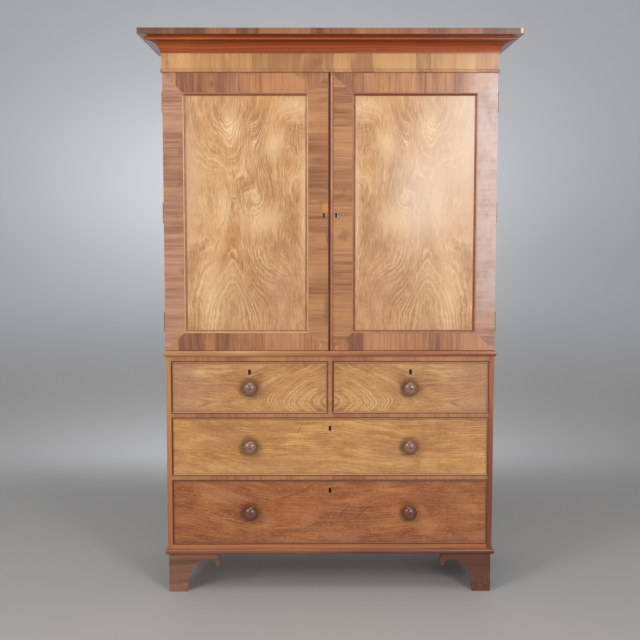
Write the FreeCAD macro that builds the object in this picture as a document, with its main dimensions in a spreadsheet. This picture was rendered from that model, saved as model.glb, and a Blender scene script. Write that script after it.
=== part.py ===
import FreeCAD, Part
import math
import os
from collections import namedtuple

import Sketcher
from FreeCAD import Rotation, Vector

# A two-part mahogany linen press, in millimetres.
# The base is a chest of two short drawers over two long ones, on bracket feet.
# The cupboard stands on it, with two panelled doors, linen trays and a lift-off cornice.
# X runs to the viewer's right, the fronts face -Y and Z is up from the floor.
# The origin is on the floor, halfway along the overall width and depth.

# ---------------------------------------------------------------- driving dimensions

SIZES = {
    # the two cases
    "base_width": 1230,
    "cupboard_extra_width": 2,
    "case_depth": 545,
    "side_thickness": 20,
    "back_thickness": 12,
    "back_board_count": 4,
    # heights of the base, from the floor up
    "foot_height": 147,
    "plinth_height": 21,
    "bottom_thickness": 19,
    "lower_opening": 245,
    "middle_opening": 219,
    "upper_opening": 194,
    "rail_thickness": 19.5,
    "top_rail_thickness": 20.5,
    "waist_height": 21,
    # rails and the mitred frames under and over the base
    "rail_depth": 60,
    "partition_thickness": 19,
    "frame_width": 52,
    "plinth_out": 9.5,
    "plinth_round": 6.3,
    "waist_out": 8.5,
    "waist_round": 5.2,
    "runner_width": 45,
    "stop_height": 5,
    "stop_width": 40,
    "stop_depth": 14,
    "stop_clearance": 0.3,
    # bracket feet, measured along the bracket from its outer corner
    "foot_inset": 3,
    "bracket_thickness": 22,
    "bracket_length": 192,
    "bracket_top_length": 180,
    "ear_rise": 119,
    "ear_bulge": 4,
    "hook_rise": 101,
    "hook_width": 5.5,
    "hook_round": 1.5,
    "arch_rise": 124,
    "arch_flat": 20,
    "arch_shoulder": 24,
    "arch_hollow": 7,
    "cusp_reach": 110,
    "cusp_rise": 90,
    "cusp_height": 7,
    "small_arch_bulge": 8,
    "leg_width": 85,
    "toe_width": 68,
    "leg_hollow": 1.5,
    "glue_block": 38,
    "rear_bracket_length": 150,
    # drawers
    "drawer_gap": 1,
    "drawer_running_gap": 0.3,
    "drawer_front_thickness": 22,
    "drawer_back_gap": 41,
    "drawer_side_thickness": 10,
    "drawer_back_thickness": 10,
    "drawer_top_gap": 8,
    "drawer_back_drop": 6,
    "drawer_bottom_thickness": 7,
    "drawer_bottom_rise": 12,
    "drawer_groove": 5,
    "tail_lap": 8,
    "tail_flare": 2.5,
    "cockbead_width": 3.5,
    "cockbead_depth": 8,
    "cockbead_out": 0.8,
    "cockbead_round": 1.6,
    # turned wooden knobs
    "knob_inset": 2,
    "knob_radius": 27,
    "knob_length": 46,
    "knob_foot_radius": 17,
    "knob_foot_thickness": 3,
    "knob_neck_radius": 12,
    "knob_neck_reach": 13,
    "knob_rim_reach": 29,
    "knob_rim_round": 1.8,
    "knob_dome": 10,
    "knob_dome_round": 3,
    "knob_hollow": 2,
    "knob_dot_radius": 2.2,
    "knob_dot_height": 1.2,
    "knob_tenon_radius": 9,
    "knob_tenon_clearance": 0.05,
    "upper_knob_lift": -1.5,
    "middle_knob_lift": 2.7,
    "lower_knob_lift": 2,
    # drawer locks
    "short_lock_inset": 2,
    "keyhole_drop": 33,
    "keyhole_radius": 4.8,
    "keyhole_slot_width": 6,
    "keyhole_foot_width": 8.6,
    "keyhole_length": 14,
    "keyhole_lining": 1.1,
    "keyhole_foot_round": 0.9,
    "lock_width": 64,
    "lock_height": 52,
    "lock_thickness": 11,
    "lock_wall": 3,
    "bolt_width": 26,
    "bolt_thickness": 5,
    "bolt_height": 27,
    "bolt_clearance": 0.3,
    "bolt_travel": 8,
    "bolt_mortise_clearance": 1,
    # cupboard doors
    "door_floor_gap": 1.5,
    "door_top_gap": 1,
    "door_height": 1024,
    "door_thickness": 23,
    "door_back_gap": 1,
    "meeting_gap": 8,
    "tongue_gap": 0.8,
    "tongue_setback": 12,
    "hinge_stile_width": 73,
    "left_lock_stile_width": 73,
    "right_lock_stile_width": 82,
    "door_bottom_rail_width": 65,
    "door_top_rail_width": 72,
    "panel_setback": 6,
    "panel_thickness": 7,
    "panel_groove": 10,
    "panel_play": 1.5,
    "panel_moulding_width": 11,
    "panel_moulding_height": 7.2,
    "panel_moulding_edge": 2,
    "panel_moulding_step": 4.3,
    "panel_moulding_step_width": 5.5,
    "panel_moulding_flat": 1.7,
    "panel_moulding_round": 1,
    "astragal_width": 11,
    "astragal_out": 5,
    "astragal_round": 3.5,
    # door hinges
    "hinge_height": 76,
    "hinge_end_distance": 105,
    "leaf_width": 17,
    "leaf_thickness": 2,
    "knuckle_radius": 3,
    "knuckle_stand_off": 0.3,
    "knuckle_gap": 0.3,
    "pin_radius": 1.5,
    "pin_clearance": 0.06,
    # door lock
    "door_keyhole_rise": 507.5,
    "door_keyhole_offset": 22,
    "left_keyhole_offset": 23.4,
    "left_keyhole_depth": 9,
    "door_keyhole_radius": 3.6,
    "door_keyhole_slot_width": 3.8,
    "door_keyhole_foot_width": 4.8,
    "door_keyhole_length": 12,
    "escutcheon_rim": 4,
    "escutcheon_thickness": 0.6,
    "door_lock_width": 54,
    "door_lock_height": 74,
    "door_lock_thickness": 12,
    "door_bolt_height": 20,
    "door_bolt_length": 30,
    "door_bolt_travel": 13,
    "door_bolt_thickness": 5,
    # cupboard interior
    "tray_side_gap": 1.5,
    "tray_front_setback": 30,
    "tray_back_gap": 10,
    "tray_height": 115,
    "tray_board": 12,
    "tray_bottom": 8,
    "tray_back_drop": 35,
    "tray_scoop_width": 420,
    "tray_scoop_depth": 40,
    "tray_runner_size": 16,
    # cornice
    "frieze_extra_width": 5,
    "frieze_height": 69,
    "frieze_thickness": 22,
    "frieze_bead_height": 11,
    "frieze_bead_out": 3.4,
    "frieze_bead_round": 1.4,
    "cove_lip": 3,
    "cove_lip_height": 2.5,
    "cove_top_out": 41,
    "cove_height": 37,
    "cove_hollow": 9.5,
    "torus_foot_out": 50.5,
    "torus_foot_height": 1,
    "torus_height": 11,
    "torus_round": 5.5,
    "quirk_out": 42,
    "quirk_height": 2,
    "top_bead_height": 5,
    "top_bead_round": 2.5,
    "soffit_height": 0.5,
    "fascia_height": 21,
    "fascia_out": 77,
    "fascia_lap": 11,
    "dust_board_thickness": 8,
}

TRAY_COUNT = 5
HINGE_COUNT = 3
TAIL_COUNT = 4
# The narrow end of a dovetail, and the foot of a keyhole's round, as shares of pitch and radius.
TAIL_SHARE = 0.6
SHOULDER_SHARE = 0.75

doc = FreeCAD.newDocument("linen_press")
sheet = doc.addObject("Spreadsheet::Sheet", "Sizes")
for row, (alias, number) in enumerate(SIZES.items(), start=1):
    sheet.set(f"A{row}", alias.replace("_", " "))
    sheet.set(f"B{row}", str(number))
    sheet.setAlias(f"B{row}", alias)
doc.recompute()


class Length:
    """A length: its value now, and the spreadsheet expression that works it out again."""

    def __init__(self, value, text):
        self.value = value
        self.text = text

    def joined(self, sign, other, value):
        return Length(value, f"({self.text} {sign} {length(other).text})")

    def __add__(self, other):
        return self.joined("+", other, self.value + length(other).value)

    def __sub__(self, other):
        return self.joined("-", other, self.value - length(other).value)

    def __mul__(self, other):
        return self.joined("*", other, self.value * length(other).value)

    def __truediv__(self, other):
        return self.joined("/", other, self.value / length(other).value)

    def __radd__(self, other):
        return length(other) + self

    def __rsub__(self, other):
        return length(other) - self

    def __rmul__(self, other):
        return length(other) * self

    def __neg__(self):
        return length(0) - self


def length(number):
    return number if isinstance(number, Length) else Length(number, repr(number))


def square_root(number):
    return Length(math.sqrt(number.value), f"sqrt({number.text})")


# Each driving dimension as a named length: size.base_width, size.case_depth and so on.
size = namedtuple("Size", SIZES)(*[Length(float(sheet.get(alias)), f"Sizes.{alias}") for alias in SIZES])

# ---------------------------------------------------------------- drawing helpers

nodes = []


def bind(item, path, value):
    """Ties one property to its expression."""
    item.setExpression(path, length(value).text)


def place(item, corner, rotation=None):
    """Moves a piece to a corner point, after an optional turn."""
    item.Placement = FreeCAD.Placement(Vector(), rotation or Rotation())
    for axis, value in zip("xyz", corner):
        bind(item, f"Placement.Base.{axis}", value)
    return item


def node(name, *pieces):
    """Registers a sub-part: one piece, or a group of separate solids."""
    item = pieces[0]
    if len(pieces) > 1:
        item = doc.addObject("Part::Compound", name)
        item.Links = list(pieces)
    item.Label = name
    nodes.append(item)
    return item


def board(name, corner, extent):
    """A plain rectangular board from its lowest corner and its X, Y and Z sizes."""
    item = doc.addObject("Part::Box", name)
    for path, value in zip(("Length", "Width", "Height"), extent):
        bind(item, path, value)
    return place(item, corner)


def rod(name, foot, radius, height):
    """An upright cylinder."""
    item = doc.addObject("Part::Cylinder", name)
    bind(item, "Radius", radius)
    bind(item, "Height", height)
    return place(item, foot)


def mirrored(name, source, normal=Vector(1, 0, 0)):
    """A mirror image in the plane through the origin with this normal."""
    item = doc.addObject("Part::Mirroring", name)
    item.Source = source
    item.Normal = normal
    return item


def body(name):
    return doc.addObject("PartDesign::Body", name)


def edge_to_next(start, end):
    """The edge from one outline point to the next: its geometry, its two ends and its centre.

    A third number at the start point is an arc's height, positive on the right of the line,
    which is outwards on an outline drawn anticlockwise. The sketcher's arcs turn anticlockwise,
    so an arc with a negative height is drawn from its far end. One coordinate fixes its centre.
    The sketcher numbers an edge's two ends 1 and 2, and its centre 3.
    """
    a = Vector(start[0].value, start[1].value, 0)
    b = Vector(end[0].value, end[1].value, 0)
    if len(start) < 3:
        return Part.LineSegment(a, b), (1, 2), None
    run, rise, height = end[0] - start[0], end[1] - start[1], start[2]
    chord = square_root(run * run + rise * rise)
    shift = (height / 2 - chord * chord / (8 * height)) / chord
    middle_x, middle_y = (start[0] + end[0]) / 2, (start[1] + end[1]) / 2
    centre_x, centre_y = middle_x + rise * shift, middle_y - run * shift
    centre = Vector(centre_x.value, centre_y.value, 0)
    first, last = (a, b) if height.value > 0 else (b, a)
    angles = [math.atan2(point.y - centre.y, point.x - centre.x) for point in (first, last)]
    if angles[1] < angles[0]:
        angles[1] += 2 * math.pi
    circle = Part.Circle(centre, Vector(0, 0, 1), centre.distanceToPoint(a))
    ends = (1, 2) if height.value > 0 else (2, 1)
    steep = abs(rise.value) > abs(run.value)
    fixed = ("DistanceX", centre_x) if steep else ("DistanceY", centre_y)
    return Part.ArcOfCircle(circle, *angles), ends, fixed


def fix_point(sketch, edge, end, kind, value):
    """Dimensions one coordinate of a point of an edge from the sketch's origin."""
    index = sketch.addConstraint(Sketcher.Constraint(kind, -1, 1, edge, end, value.value))
    bind(sketch, f"Constraints[{index}]", value)


def add_outline(sketch, points):
    """Draws one closed outline of lines and arcs and dimensions every corner of it."""
    first = sketch.GeometryCount
    count = len(points)
    points = [tuple(length(value) for value in point) for point in points]
    ends = []
    centres = []
    for index, point in enumerate(points):
        geometry, edge_ends, centre = edge_to_next(point, points[(index + 1) % count])
        sketch.addGeometry(geometry, False)
        ends.append(edge_ends)
        centres.append(centre)
    for index, point in enumerate(points):
        edge = first + index
        after = (index + 1) % count
        begin, finish = ends[index]
        sketch.addConstraint(Sketcher.Constraint("Coincident", edge, finish, first + after, ends[after][0]))
        fix_point(sketch, edge, begin, "DistanceX", point[0])
        fix_point(sketch, edge, begin, "DistanceY", point[1])
        if centres[index]:
            fix_point(sketch, edge, 3, *centres[index])


def add_circle(sketch, centre_x, centre_y, radius):
    """Draws one circle with its centre and radius dimensioned."""
    centre = Vector(length(centre_x).value, length(centre_y).value, 0)
    edge = sketch.addGeometry(Part.Circle(centre, Vector(0, 0, 1), radius.value), False)
    fix_point(sketch, edge, 3, "DistanceX", length(centre_x))
    fix_point(sketch, edge, 3, "DistanceY", length(centre_y))
    index = sketch.addConstraint(Sketcher.Constraint("Radius", edge, radius.value))
    bind(sketch, f"Constraints[{index}]", radius)


def sketch_on(owner, name, plane, at, outlines, circles=()):
    """A sketch on one of the body's own planes, moved along that plane's free axis.

    The normal of the XZ plane points to -Y, so its offset changes sign.
    """
    origin_plane = [f for f in owner.Origin.OriginFeatures if f.Role == f"{plane}_Plane"][0]
    sketch = owner.newObject("Sketcher::SketchObject", name)
    sketch.AttachmentSupport = [(origin_plane, "")]
    sketch.MapMode = "FlatFace"
    bind(sketch, ".AttachmentOffset.Base.z", -at if plane == "XZ" else at)
    for points in outlines:
        add_outline(sketch, points)
    for circle in circles:
        add_circle(sketch, *circle)
    return sketch


def pad(owner, name, plane, at, outlines, depth, circles=()):
    """Adds a prism that grows along the plane's free axis."""
    feature = owner.newObject("PartDesign::Pad", name)
    feature.Profile = sketch_on(owner, f"{name}_outline", plane, at, outlines, circles)
    feature.Reversed = plane == "XZ"
    bind(feature, "Length", depth)
    return feature


def pocket(owner, name, plane, at, outlines, depth, circles=(), forward=True):
    """Cuts a prism that grows along the plane's free axis, or against it."""
    feature = owner.newObject("PartDesign::Pocket", name)
    feature.Profile = sketch_on(owner, f"{name}_outline", plane, at, outlines, circles)
    feature.Reversed = (plane != "XZ") == forward
    bind(feature, "Length", depth)
    return feature


def rectangle(left, low, right, high):
    return [(left, low), (right, low), (right, high), (left, high)]


def strip(name, profile, run, inside, outside, mitred=(True, True)):
    """A straight moulding along X, from X=0 to X=run, cut to a mitre at the ends asked for.

    Its profile is in Y, positive towards the inside of the frame it belongs to, and Z.
    The mitres pass through Y=0 at the two ends. Inside and outside are the profile's reach.
    """
    item = body(name)
    start = -outside if mitred[0] else length(0)
    end = run + outside if mitred[1] else run
    pad(item, f"{name}_run", "YZ", start, [profile], end - start)
    spare = (inside + outside) / 10
    low = -outside - spare
    high = inside + spare
    corners = []
    if mitred[0]:
        corners.append([(low, low), (high, high), (low, high)])
    if mitred[1]:
        corners.append([(run - low, low), (run - low, high), (run - high, high)])
    if corners:
        cut = item.newObject("PartDesign::Pocket", f"{name}_mitres")
        cut.Profile = sketch_on(item, f"{name}_mitres_outline", "XY", 0, corners)
        cut.Type = "ThroughAll"
        cut.SideType = "Symmetric"
    return item


def three_sided(name, profile, width, base, inside, outside):
    """A moulding round the front and both sides of a case, mitred at the front corners."""
    run = back - front
    front_piece = strip(f"{name}_front", profile, width, inside, outside)
    right_piece = strip(f"{name}_right", profile, run, inside, outside, (True, False))
    left_piece = strip(f"{name}_left", profile, run, inside, outside, (False, True))
    place(front_piece, (-width / 2, front, base))
    place(right_piece, (width / 2, front, base), Rotation(Vector(0, 0, 1), 90))
    place(left_piece, (-width / 2, back, base), Rotation(Vector(0, 0, 1), -90))
    return [front_piece, right_piece, left_piece]


def upright_frame(name, profile, left, right, low, high, plane_y, inside, outside=0):
    """Four mitred strips round an upright rectangle. The profile's Z points to the viewer."""
    stand = Rotation(Vector(1, 0, 0), 90)
    outside = length(outside)
    corners = [(left, low), (right, low), (right, high), (left, high)]
    runs = [right - left, high - low, right - left, high - low]
    names = ["bottom", "right", "top", "left"]
    pieces = []
    for quarter, (corner, run, side) in enumerate(zip(corners, runs, names)):
        piece = strip(f"{name}_{side}", profile, run, inside, outside)
        turn = stand.multiply(Rotation(Vector(0, 0, 1), 90 * quarter))
        pieces.append(place(piece, (corner[0], plane_y, corner[1]), turn))
    return pieces


def keyhole(centre_x, centre_z, radius, slot, foot, drop, foot_round, grow=0):
    """A keyhole outline: a round top over a slot that widens to a rounded foot."""
    half_slot = slot / 2 + grow
    half_foot = foot / 2 + grow
    shoulder = centre_z - radius * SHOULDER_SHARE
    crown = radius * (1 + SHOULDER_SHARE) + grow
    bottom = centre_z - drop + radius - grow
    return [
        (centre_x + half_slot, shoulder, crown),
        (centre_x - half_slot, shoulder),
        (centre_x - half_foot, bottom, foot_round),
        (centre_x + half_foot, bottom),
    ]


# ---------------------------------------------------------------- levels and planes

back = (size.case_depth + size.fascia_out) / 2
front = back - size.case_depth
plinth_base = size.foot_height
base_floor = plinth_base + size.plinth_height
lower_low = base_floor + size.bottom_thickness
lower_high = lower_low + size.lower_opening
middle_low = lower_high + size.rail_thickness
middle_high = middle_low + size.middle_opening
upper_low = middle_high + size.rail_thickness
upper_high = upper_low + size.upper_opening
base_top = upper_high + size.top_rail_thickness
cupboard_low = base_top + size.waist_height
door_low = cupboard_low + size.door_floor_gap
door_high = door_low + size.door_height
cupboard_high = door_high + size.door_top_gap
frieze_top = cupboard_high + size.frieze_height
torus_low = size.cove_lip_height + size.cove_height + size.torus_foot_height
quirk_low = torus_low + size.torus_height
bead_low = quirk_low + size.quirk_height
moulding_height = bead_low + size.top_bead_height + size.soffit_height
fascia_low = frieze_top + moulding_height

base_half = size.base_width / 2
base_inner = base_half - size.side_thickness
upper_half = base_half + size.cupboard_extra_width / 2
frieze_width = 2 * upper_half + size.frieze_extra_width
upper_inner = upper_half - size.side_thickness
carcass_front = front + size.door_thickness + size.door_back_gap
back_board_front = back - size.back_thickness
drawer_length = back_board_front - front - size.drawer_front_thickness - size.drawer_back_gap
short_drawer_centre = (base_inner + size.partition_thickness / 2) / 2
knob_offset = short_drawer_centre - size.knob_inset
short_lock_offset = short_drawer_centre - size.short_lock_inset

# ---------------------------------------------------------------- base


def panel_of_boards(name, half_width, low, high):
    """Vertical boards side by side, filling the back of a case."""
    count = int(size.back_board_count.value)
    width = 2 * half_width / count
    return [
        board(f"{name}_{index + 1}", (-half_width + index * width, back_board_front, low),
              (width, size.back_thickness, high - low))
        for index in range(count)
    ]


def rail_mortise(owner, name, centre_x):
    """A slot in a rail's underside that takes the bolt of the drawer lock below it."""
    spare = size.bolt_mortise_clearance
    near = size.drawer_front_thickness + size.lock_wall - spare
    far = near + size.bolt_thickness + 2 * spare
    reach = size.bolt_width / 2 + spare
    outline = rectangle(centre_x - reach, near, centre_x + reach, far)
    pocket(owner, name, "XY", 0, [outline], size.bolt_travel + spare)


def front_rail(name, low, thickness, lock_centres):
    """A front rail between the case sides, with a mortise over each drawer lock."""
    rail = body(name)
    pad(rail, f"{name}_board", "XY", 0, [rectangle(-base_inner, 0, base_inner, size.rail_depth)], thickness)
    for index, centre in enumerate(lock_centres):
        rail_mortise(rail, f"{name}_mortise_{index + 1}", centre)
    return place(rail, (0, front, low))


def build_base():
    case_height = base_top - base_floor
    side_size = (size.side_thickness, size.case_depth, case_height)
    node("base_side_left", board("base_side_left", (-base_half, front, base_floor), side_size))
    node("base_side_right", board("base_side_right", (base_inner, front, base_floor), side_size))
    inner_width = 2 * base_inner
    board_depth = back_board_front - front
    node("base_bottom_board", board("base_bottom_board", (-base_inner, front, base_floor),
                                    (inner_width, board_depth, size.bottom_thickness)))
    node("base_top_board", board("base_top_board", (-base_inner, front + size.rail_depth, upper_high),
                                 (inner_width, board_depth - size.rail_depth, size.top_rail_thickness)))
    node("base_back_boards", *panel_of_boards("base_back_board", base_inner, base_floor, base_top))
    short_locks = (-short_lock_offset, short_lock_offset)
    node("base_front_rails",
         front_rail("lower_rail", lower_high, size.rail_thickness, (0,)),
         front_rail("middle_rail", middle_high, size.rail_thickness, (0,)),
         front_rail("top_rail", upper_high, size.top_rail_thickness, short_locks))
    node("short_drawer_partition",
         board("short_drawer_partition", (-size.partition_thickness / 2, front, upper_low),
               (size.partition_thickness, board_depth, size.upper_opening)))
    node("drawer_runners", *drawer_runners(board_depth))


def drawer_runners(board_depth):
    """Runners behind the two lower rails, and the small stops that the drawer fronts meet."""
    pieces = []
    start = front + size.rail_depth
    runner = (size.runner_width, board_depth - size.rail_depth, size.rail_thickness)
    for name, low in (("middle", lower_high), ("upper", middle_high)):
        pieces.append(board(f"{name}_runner_left", (-base_inner, start, low), runner))
        pieces.append(board(f"{name}_runner_right", (base_inner - size.runner_width, start, low), runner))
    wide = 2 * size.runner_width + size.partition_thickness
    pieces.append(board("upper_runner_centre", (-wide / 2, start, middle_high),
                        (wide, board_depth - size.rail_depth, size.rail_thickness)))
    stop_y = front + size.drawer_front_thickness + size.stop_clearance
    stop = (size.stop_width, size.stop_depth, size.stop_height)
    rows = (("lower", lower_low, knob_offset), ("middle", middle_low, knob_offset),
            ("upper", upper_low, short_lock_offset))
    for name, low, offset in rows:
        for side, sign in (("left", -1), ("right", 1)):
            centre = offset * sign
            pieces.append(board(f"{name}_stop_{side}", (centre - size.stop_width / 2, stop_y, low), stop))
    return pieces


def build_frames():
    """The bullnosed frames: one under the base, on the feet, and one between base and cupboard."""
    width = size.frame_width
    frames = (("plinth", plinth_base, size.plinth_height, size.plinth_round, size.plinth_out),
              ("waist", base_top, size.waist_height, size.waist_round, size.waist_out))
    for name, low, height, nose, out in frames:
        profile = [
            (nose - out, 0),
            (width, 0),
            (width, height),
            (nose - out, height, nose),
        ]
        rear = board(f"{name}_rear", (-base_half + width, back - width, low),
                     (size.base_width - 2 * width, width, height))
        node(f"{name}_moulding", *three_sided(name, profile, size.base_width, low, width, out), rear)


def bracket(name):
    """A scroll-cut bracket along X, its outer face on Y=0 and its corner end cut to a mitre."""
    item = body(name)
    arch_start = size.cusp_reach + size.arch_shoulder
    arch_end = arch_start + size.arch_flat
    hook_heel = arch_end + size.arch_shoulder
    outline = [
        (0, 0),
        (size.toe_width, 0, -size.leg_hollow),
        (size.leg_width, size.cusp_rise, -size.small_arch_bulge),
        (size.cusp_reach, size.cusp_rise),
        (size.cusp_reach, size.cusp_rise + size.cusp_height, -size.arch_hollow),
        (arch_start, size.arch_rise),
        (arch_end, size.arch_rise, -size.arch_hollow),
        (hook_heel, size.hook_rise, size.hook_round),
        (hook_heel + size.hook_width, size.hook_rise, size.ear_bulge),
        (size.bracket_length, size.ear_rise, size.ear_bulge),
        (size.bracket_top_length, size.foot_height),
        (0, size.foot_height),
    ]
    pad(item, f"{name}_board", "XZ", 0, [outline], size.bracket_thickness)
    spare = size.bracket_thickness / 10
    far = size.bracket_thickness + spare
    cut = item.newObject("PartDesign::Pocket", f"{name}_mitre")
    corner = [(-spare, -spare), (far, far), (-spare, far)]
    cut.Profile = sketch_on(item, f"{name}_mitre_outline", "XY", 0, [corner])
    cut.Type = "ThroughAll"
    cut.SideType = "Symmetric"
    return item


def build_feet():
    """Bracket feet: two scrolled brackets in front, one scrolled and one plain at the back."""
    across = Vector(1, -1, 0)
    inset = size.foot_inset
    block = (size.glue_block, size.glue_block, size.foot_height)
    thick = size.bracket_thickness
    front_bracket = bracket("front_bracket")
    side_bracket = mirrored("side_bracket", front_bracket, across)
    corner_block = board("front_glue_block", (thick, thick, 0), block)
    left = doc.addObject("Part::Compound", "front_left_foot")
    left.Links = [front_bracket, side_bracket, corner_block]
    place(left, (-base_half + inset, front + inset, 0))
    node("front_left_foot", left)
    node("front_right_foot", mirrored("front_right_foot", left))

    flank = mirrored("rear_side_bracket", bracket("rear_flank"), across)
    turned = mirrored("rear_side_bracket_turned", flank, Vector(0, 1, 0))
    rear = body("rear_bracket")
    slope = [(thick, 0), (size.toe_width, 0), (size.rear_bracket_length, size.arch_rise),
             (size.rear_bracket_length, size.foot_height), (thick, size.foot_height)]
    pad(rear, "rear_bracket_board", "XZ", -thick, [slope], thick)
    rear_block = board("rear_glue_block", (thick, -thick - size.glue_block, 0), block)
    left = doc.addObject("Part::Compound", "back_left_foot")
    left.Links = [turned, rear, rear_block]
    place(left, (-base_half + inset, back, 0))
    node("back_left_foot", left)
    node("back_right_foot", mirrored("back_right_foot", left))


# ---------------------------------------------------------------- drawers


def turned_knob(name, centre_x, centre_z):
    """A turned knob: a tenon in the drawer front, a waisted neck and a domed face."""
    item = body(name)
    rim = size.knob_rim_reach
    dome_foot = size.knob_length - size.knob_dome
    tenon = size.knob_tenon_radius - size.knob_tenon_clearance
    profile = [
        (0, -size.drawer_front_thickness),
        (tenon, -size.drawer_front_thickness),
        (tenon, 0),
        (size.knob_foot_radius, 0),
        (size.knob_foot_radius, size.knob_foot_thickness, -size.knob_hollow),
        (size.knob_neck_radius, size.knob_neck_reach, -size.knob_hollow),
        (size.knob_radius - size.knob_rim_round, rim, size.knob_rim_round),
        (size.knob_radius - size.knob_rim_round, dome_foot, size.knob_dome_round),
        (size.knob_dot_radius, size.knob_length - size.knob_dot_height),
        (size.knob_dot_radius, size.knob_length),
        (0, size.knob_length),
    ]
    spin = item.newObject("PartDesign::Revolution", f"{name}_turning")
    sketch = sketch_on(item, f"{name}_profile", "XZ", 0, [profile])
    spin.Profile = sketch
    spin.ReferenceAxis = (sketch, ["V_Axis"])
    spin.Angle = 360
    return place(item, (centre_x, front, centre_z), Rotation(Vector(1, 0, 0), 90))


def dovetails(low, high):
    """The tails that join a drawer side to the front, in Y from the front's face and in Z."""
    pitch = (high - low) / TAIL_COUNT
    outlines = []
    for index in range(TAIL_COUNT):
        centre = low + pitch * (index + 0.5)
        root = pitch * TAIL_SHARE / 2
        tip = root + size.tail_flare
        outlines.append([(size.tail_lap, centre - tip), (size.drawer_front_thickness, centre - root),
                         (size.drawer_front_thickness, centre + root), (size.tail_lap, centre + tip)])
    return outlines


def drawer_front(name, left, right, low, high, side_span, knob_spots, lock_x, lock_z):
    """The front board, rebated for a mitred cockbead, with sockets, knob holes and a keyhole."""
    bead = size.cockbead_width
    core = body(f"{name}_core")
    face = rectangle(left + bead, low + bead, right - bead, high - bead)
    pad(core, f"{name}_core_face", "XZ", 0, [face], size.cockbead_depth)
    pad(core, f"{name}_core_board", "XZ", size.cockbead_depth, [rectangle(left, low, right, high)],
        size.drawer_front_thickness - size.cockbead_depth)
    circles = [(spot_x, spot_z, size.knob_tenon_radius) for spot_x, spot_z in knob_spots]
    hole = keyhole(lock_x, lock_z, size.keyhole_radius, size.keyhole_slot_width,
                   size.keyhole_foot_width, size.keyhole_length, size.keyhole_foot_round)
    pocket(core, f"{name}_holes", "XZ", 0, [hole], size.drawer_front_thickness, circles)
    tails = dovetails(*side_span)
    pocket(core, f"{name}_sockets_left", "YZ", left, tails, size.drawer_side_thickness)
    pocket(core, f"{name}_sockets_right", "YZ", right, tails, size.drawer_side_thickness, forward=False)
    place(core, (0, front, 0))
    proud = size.cockbead_depth + size.cockbead_out
    profile = [(0, 0), (bead, 0), (bead, proud, size.cockbead_round), (0, proud)]
    plane_y = front + size.cockbead_depth
    beads = upright_frame(f"{name}_cockbead", profile, left, right, low, high, plane_y, bead)
    return node(f"{name}_front", core, *beads)


def drawer_box(name, left, right, low, top):
    """Two grooved and dovetailed sides, a back, and a bottom in the grooves under the back."""
    start = size.drawer_front_thickness
    side = size.drawer_side_thickness
    groove_low = low + size.drawer_bottom_rise
    groove_high = groove_low + size.drawer_bottom_thickness
    pieces = []
    for label, outer, sign in (("left", left, 1), ("right", right, -1)):
        inner = outer + side * sign
        notch = inner - size.drawer_groove * sign
        outline = [(outer, low), (inner, low), (inner, groove_low), (notch, groove_low),
                   (notch, groove_high), (inner, groove_high), (inner, top), (outer, top)]
        piece = body(f"{name}_side_{label}")
        pad(piece, f"{name}_side_{label}_board", "XZ", start, [outline], drawer_length)
        tail_x = outer if sign > 0 else inner
        pad(piece, f"{name}_side_{label}_tails", "YZ", tail_x, dovetails(low, top), side)
        pieces.append(place(piece, (0, front, 0)))
    reach = side - size.drawer_groove
    pieces.append(board(f"{name}_bottom", (left + reach, front + start, groove_low),
                        (right - left - 2 * reach, drawer_length, size.drawer_bottom_thickness)))
    back_y = front + start + drawer_length - size.drawer_back_thickness
    pieces.append(board(f"{name}_back", (left + side, back_y, groove_high),
                        (right - left - 2 * side, size.drawer_back_thickness,
                         top - size.drawer_back_drop - groove_high)))
    return node(f"{name}_box", *pieces)


def drawer_lock(name, centre_x, top, key_z, lined):
    """A box lock behind the front: its case, the bolt in it and, on one drawer, a brass lining."""
    start = front + size.drawer_front_thickness
    case = body(f"{name}_case")
    half = size.lock_width / 2
    block = rectangle(-half, 0, half, size.lock_thickness)
    pad(case, f"{name}_case_block", "XY", 0, [block], size.lock_height)
    bore = size.bolt_width / 2 + size.bolt_clearance
    near = size.lock_wall - size.bolt_clearance
    far = near + size.bolt_thickness + 2 * size.bolt_clearance
    pocket(case, f"{name}_bolt_way", "XY", size.lock_height, [rectangle(-bore, near, bore, far)],
           size.bolt_height + 2 * size.bolt_clearance, forward=False)
    place(case, (centre_x, start, top - size.lock_height))
    pieces = [case]
    if lined:
        ring = body(f"{name}_lining")
        shape = (size.keyhole_radius, size.keyhole_slot_width, size.keyhole_foot_width,
                 size.keyhole_length, size.keyhole_foot_round)
        pad(ring, f"{name}_lining_ring", "XZ", 0,
            [keyhole(centre_x, key_z, *shape), keyhole(centre_x, key_z, *shape, grow=-size.keyhole_lining)],
            size.drawer_front_thickness)
        pieces.append(place(ring, (0, front, 0)))
    node(f"{name}", *pieces)
    bolt_low = top - size.bolt_height - size.bolt_clearance
    node(f"{name}_bolt",
         board(f"{name}_bolt", (centre_x - size.bolt_width / 2, start + size.lock_wall, bolt_low),
               (size.bolt_width, size.bolt_thickness, size.bolt_height)))


def build_drawer(name, opening, knobs, lock_x, lift, lined=False):
    """One drawer in its opening, which is given as its left, right, low and high edges."""
    gap = size.drawer_gap
    left, right = opening[0] + gap, opening[1] - gap
    low, high = opening[2] + gap, opening[3] - gap
    knob_z = (opening[2] + opening[3]) / 2 + lift
    lock_z = opening[3] - size.keyhole_drop
    spots = [(spot, knob_z) for spot in knobs]
    side_span = (opening[2] + size.drawer_running_gap, high - size.drawer_top_gap)
    drawer_front(name, left, right, low, high, side_span, spots, lock_x, lock_z)
    drawer_box(name, left, right, *side_span)
    turned = [turned_knob(f"{name}_knob_{number + 1}", *spot) for number, spot in enumerate(spots)]
    node(f"{name}_knobs", *turned)
    drawer_lock(f"{name}_lock", lock_x, high, lock_z, lined)


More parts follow.
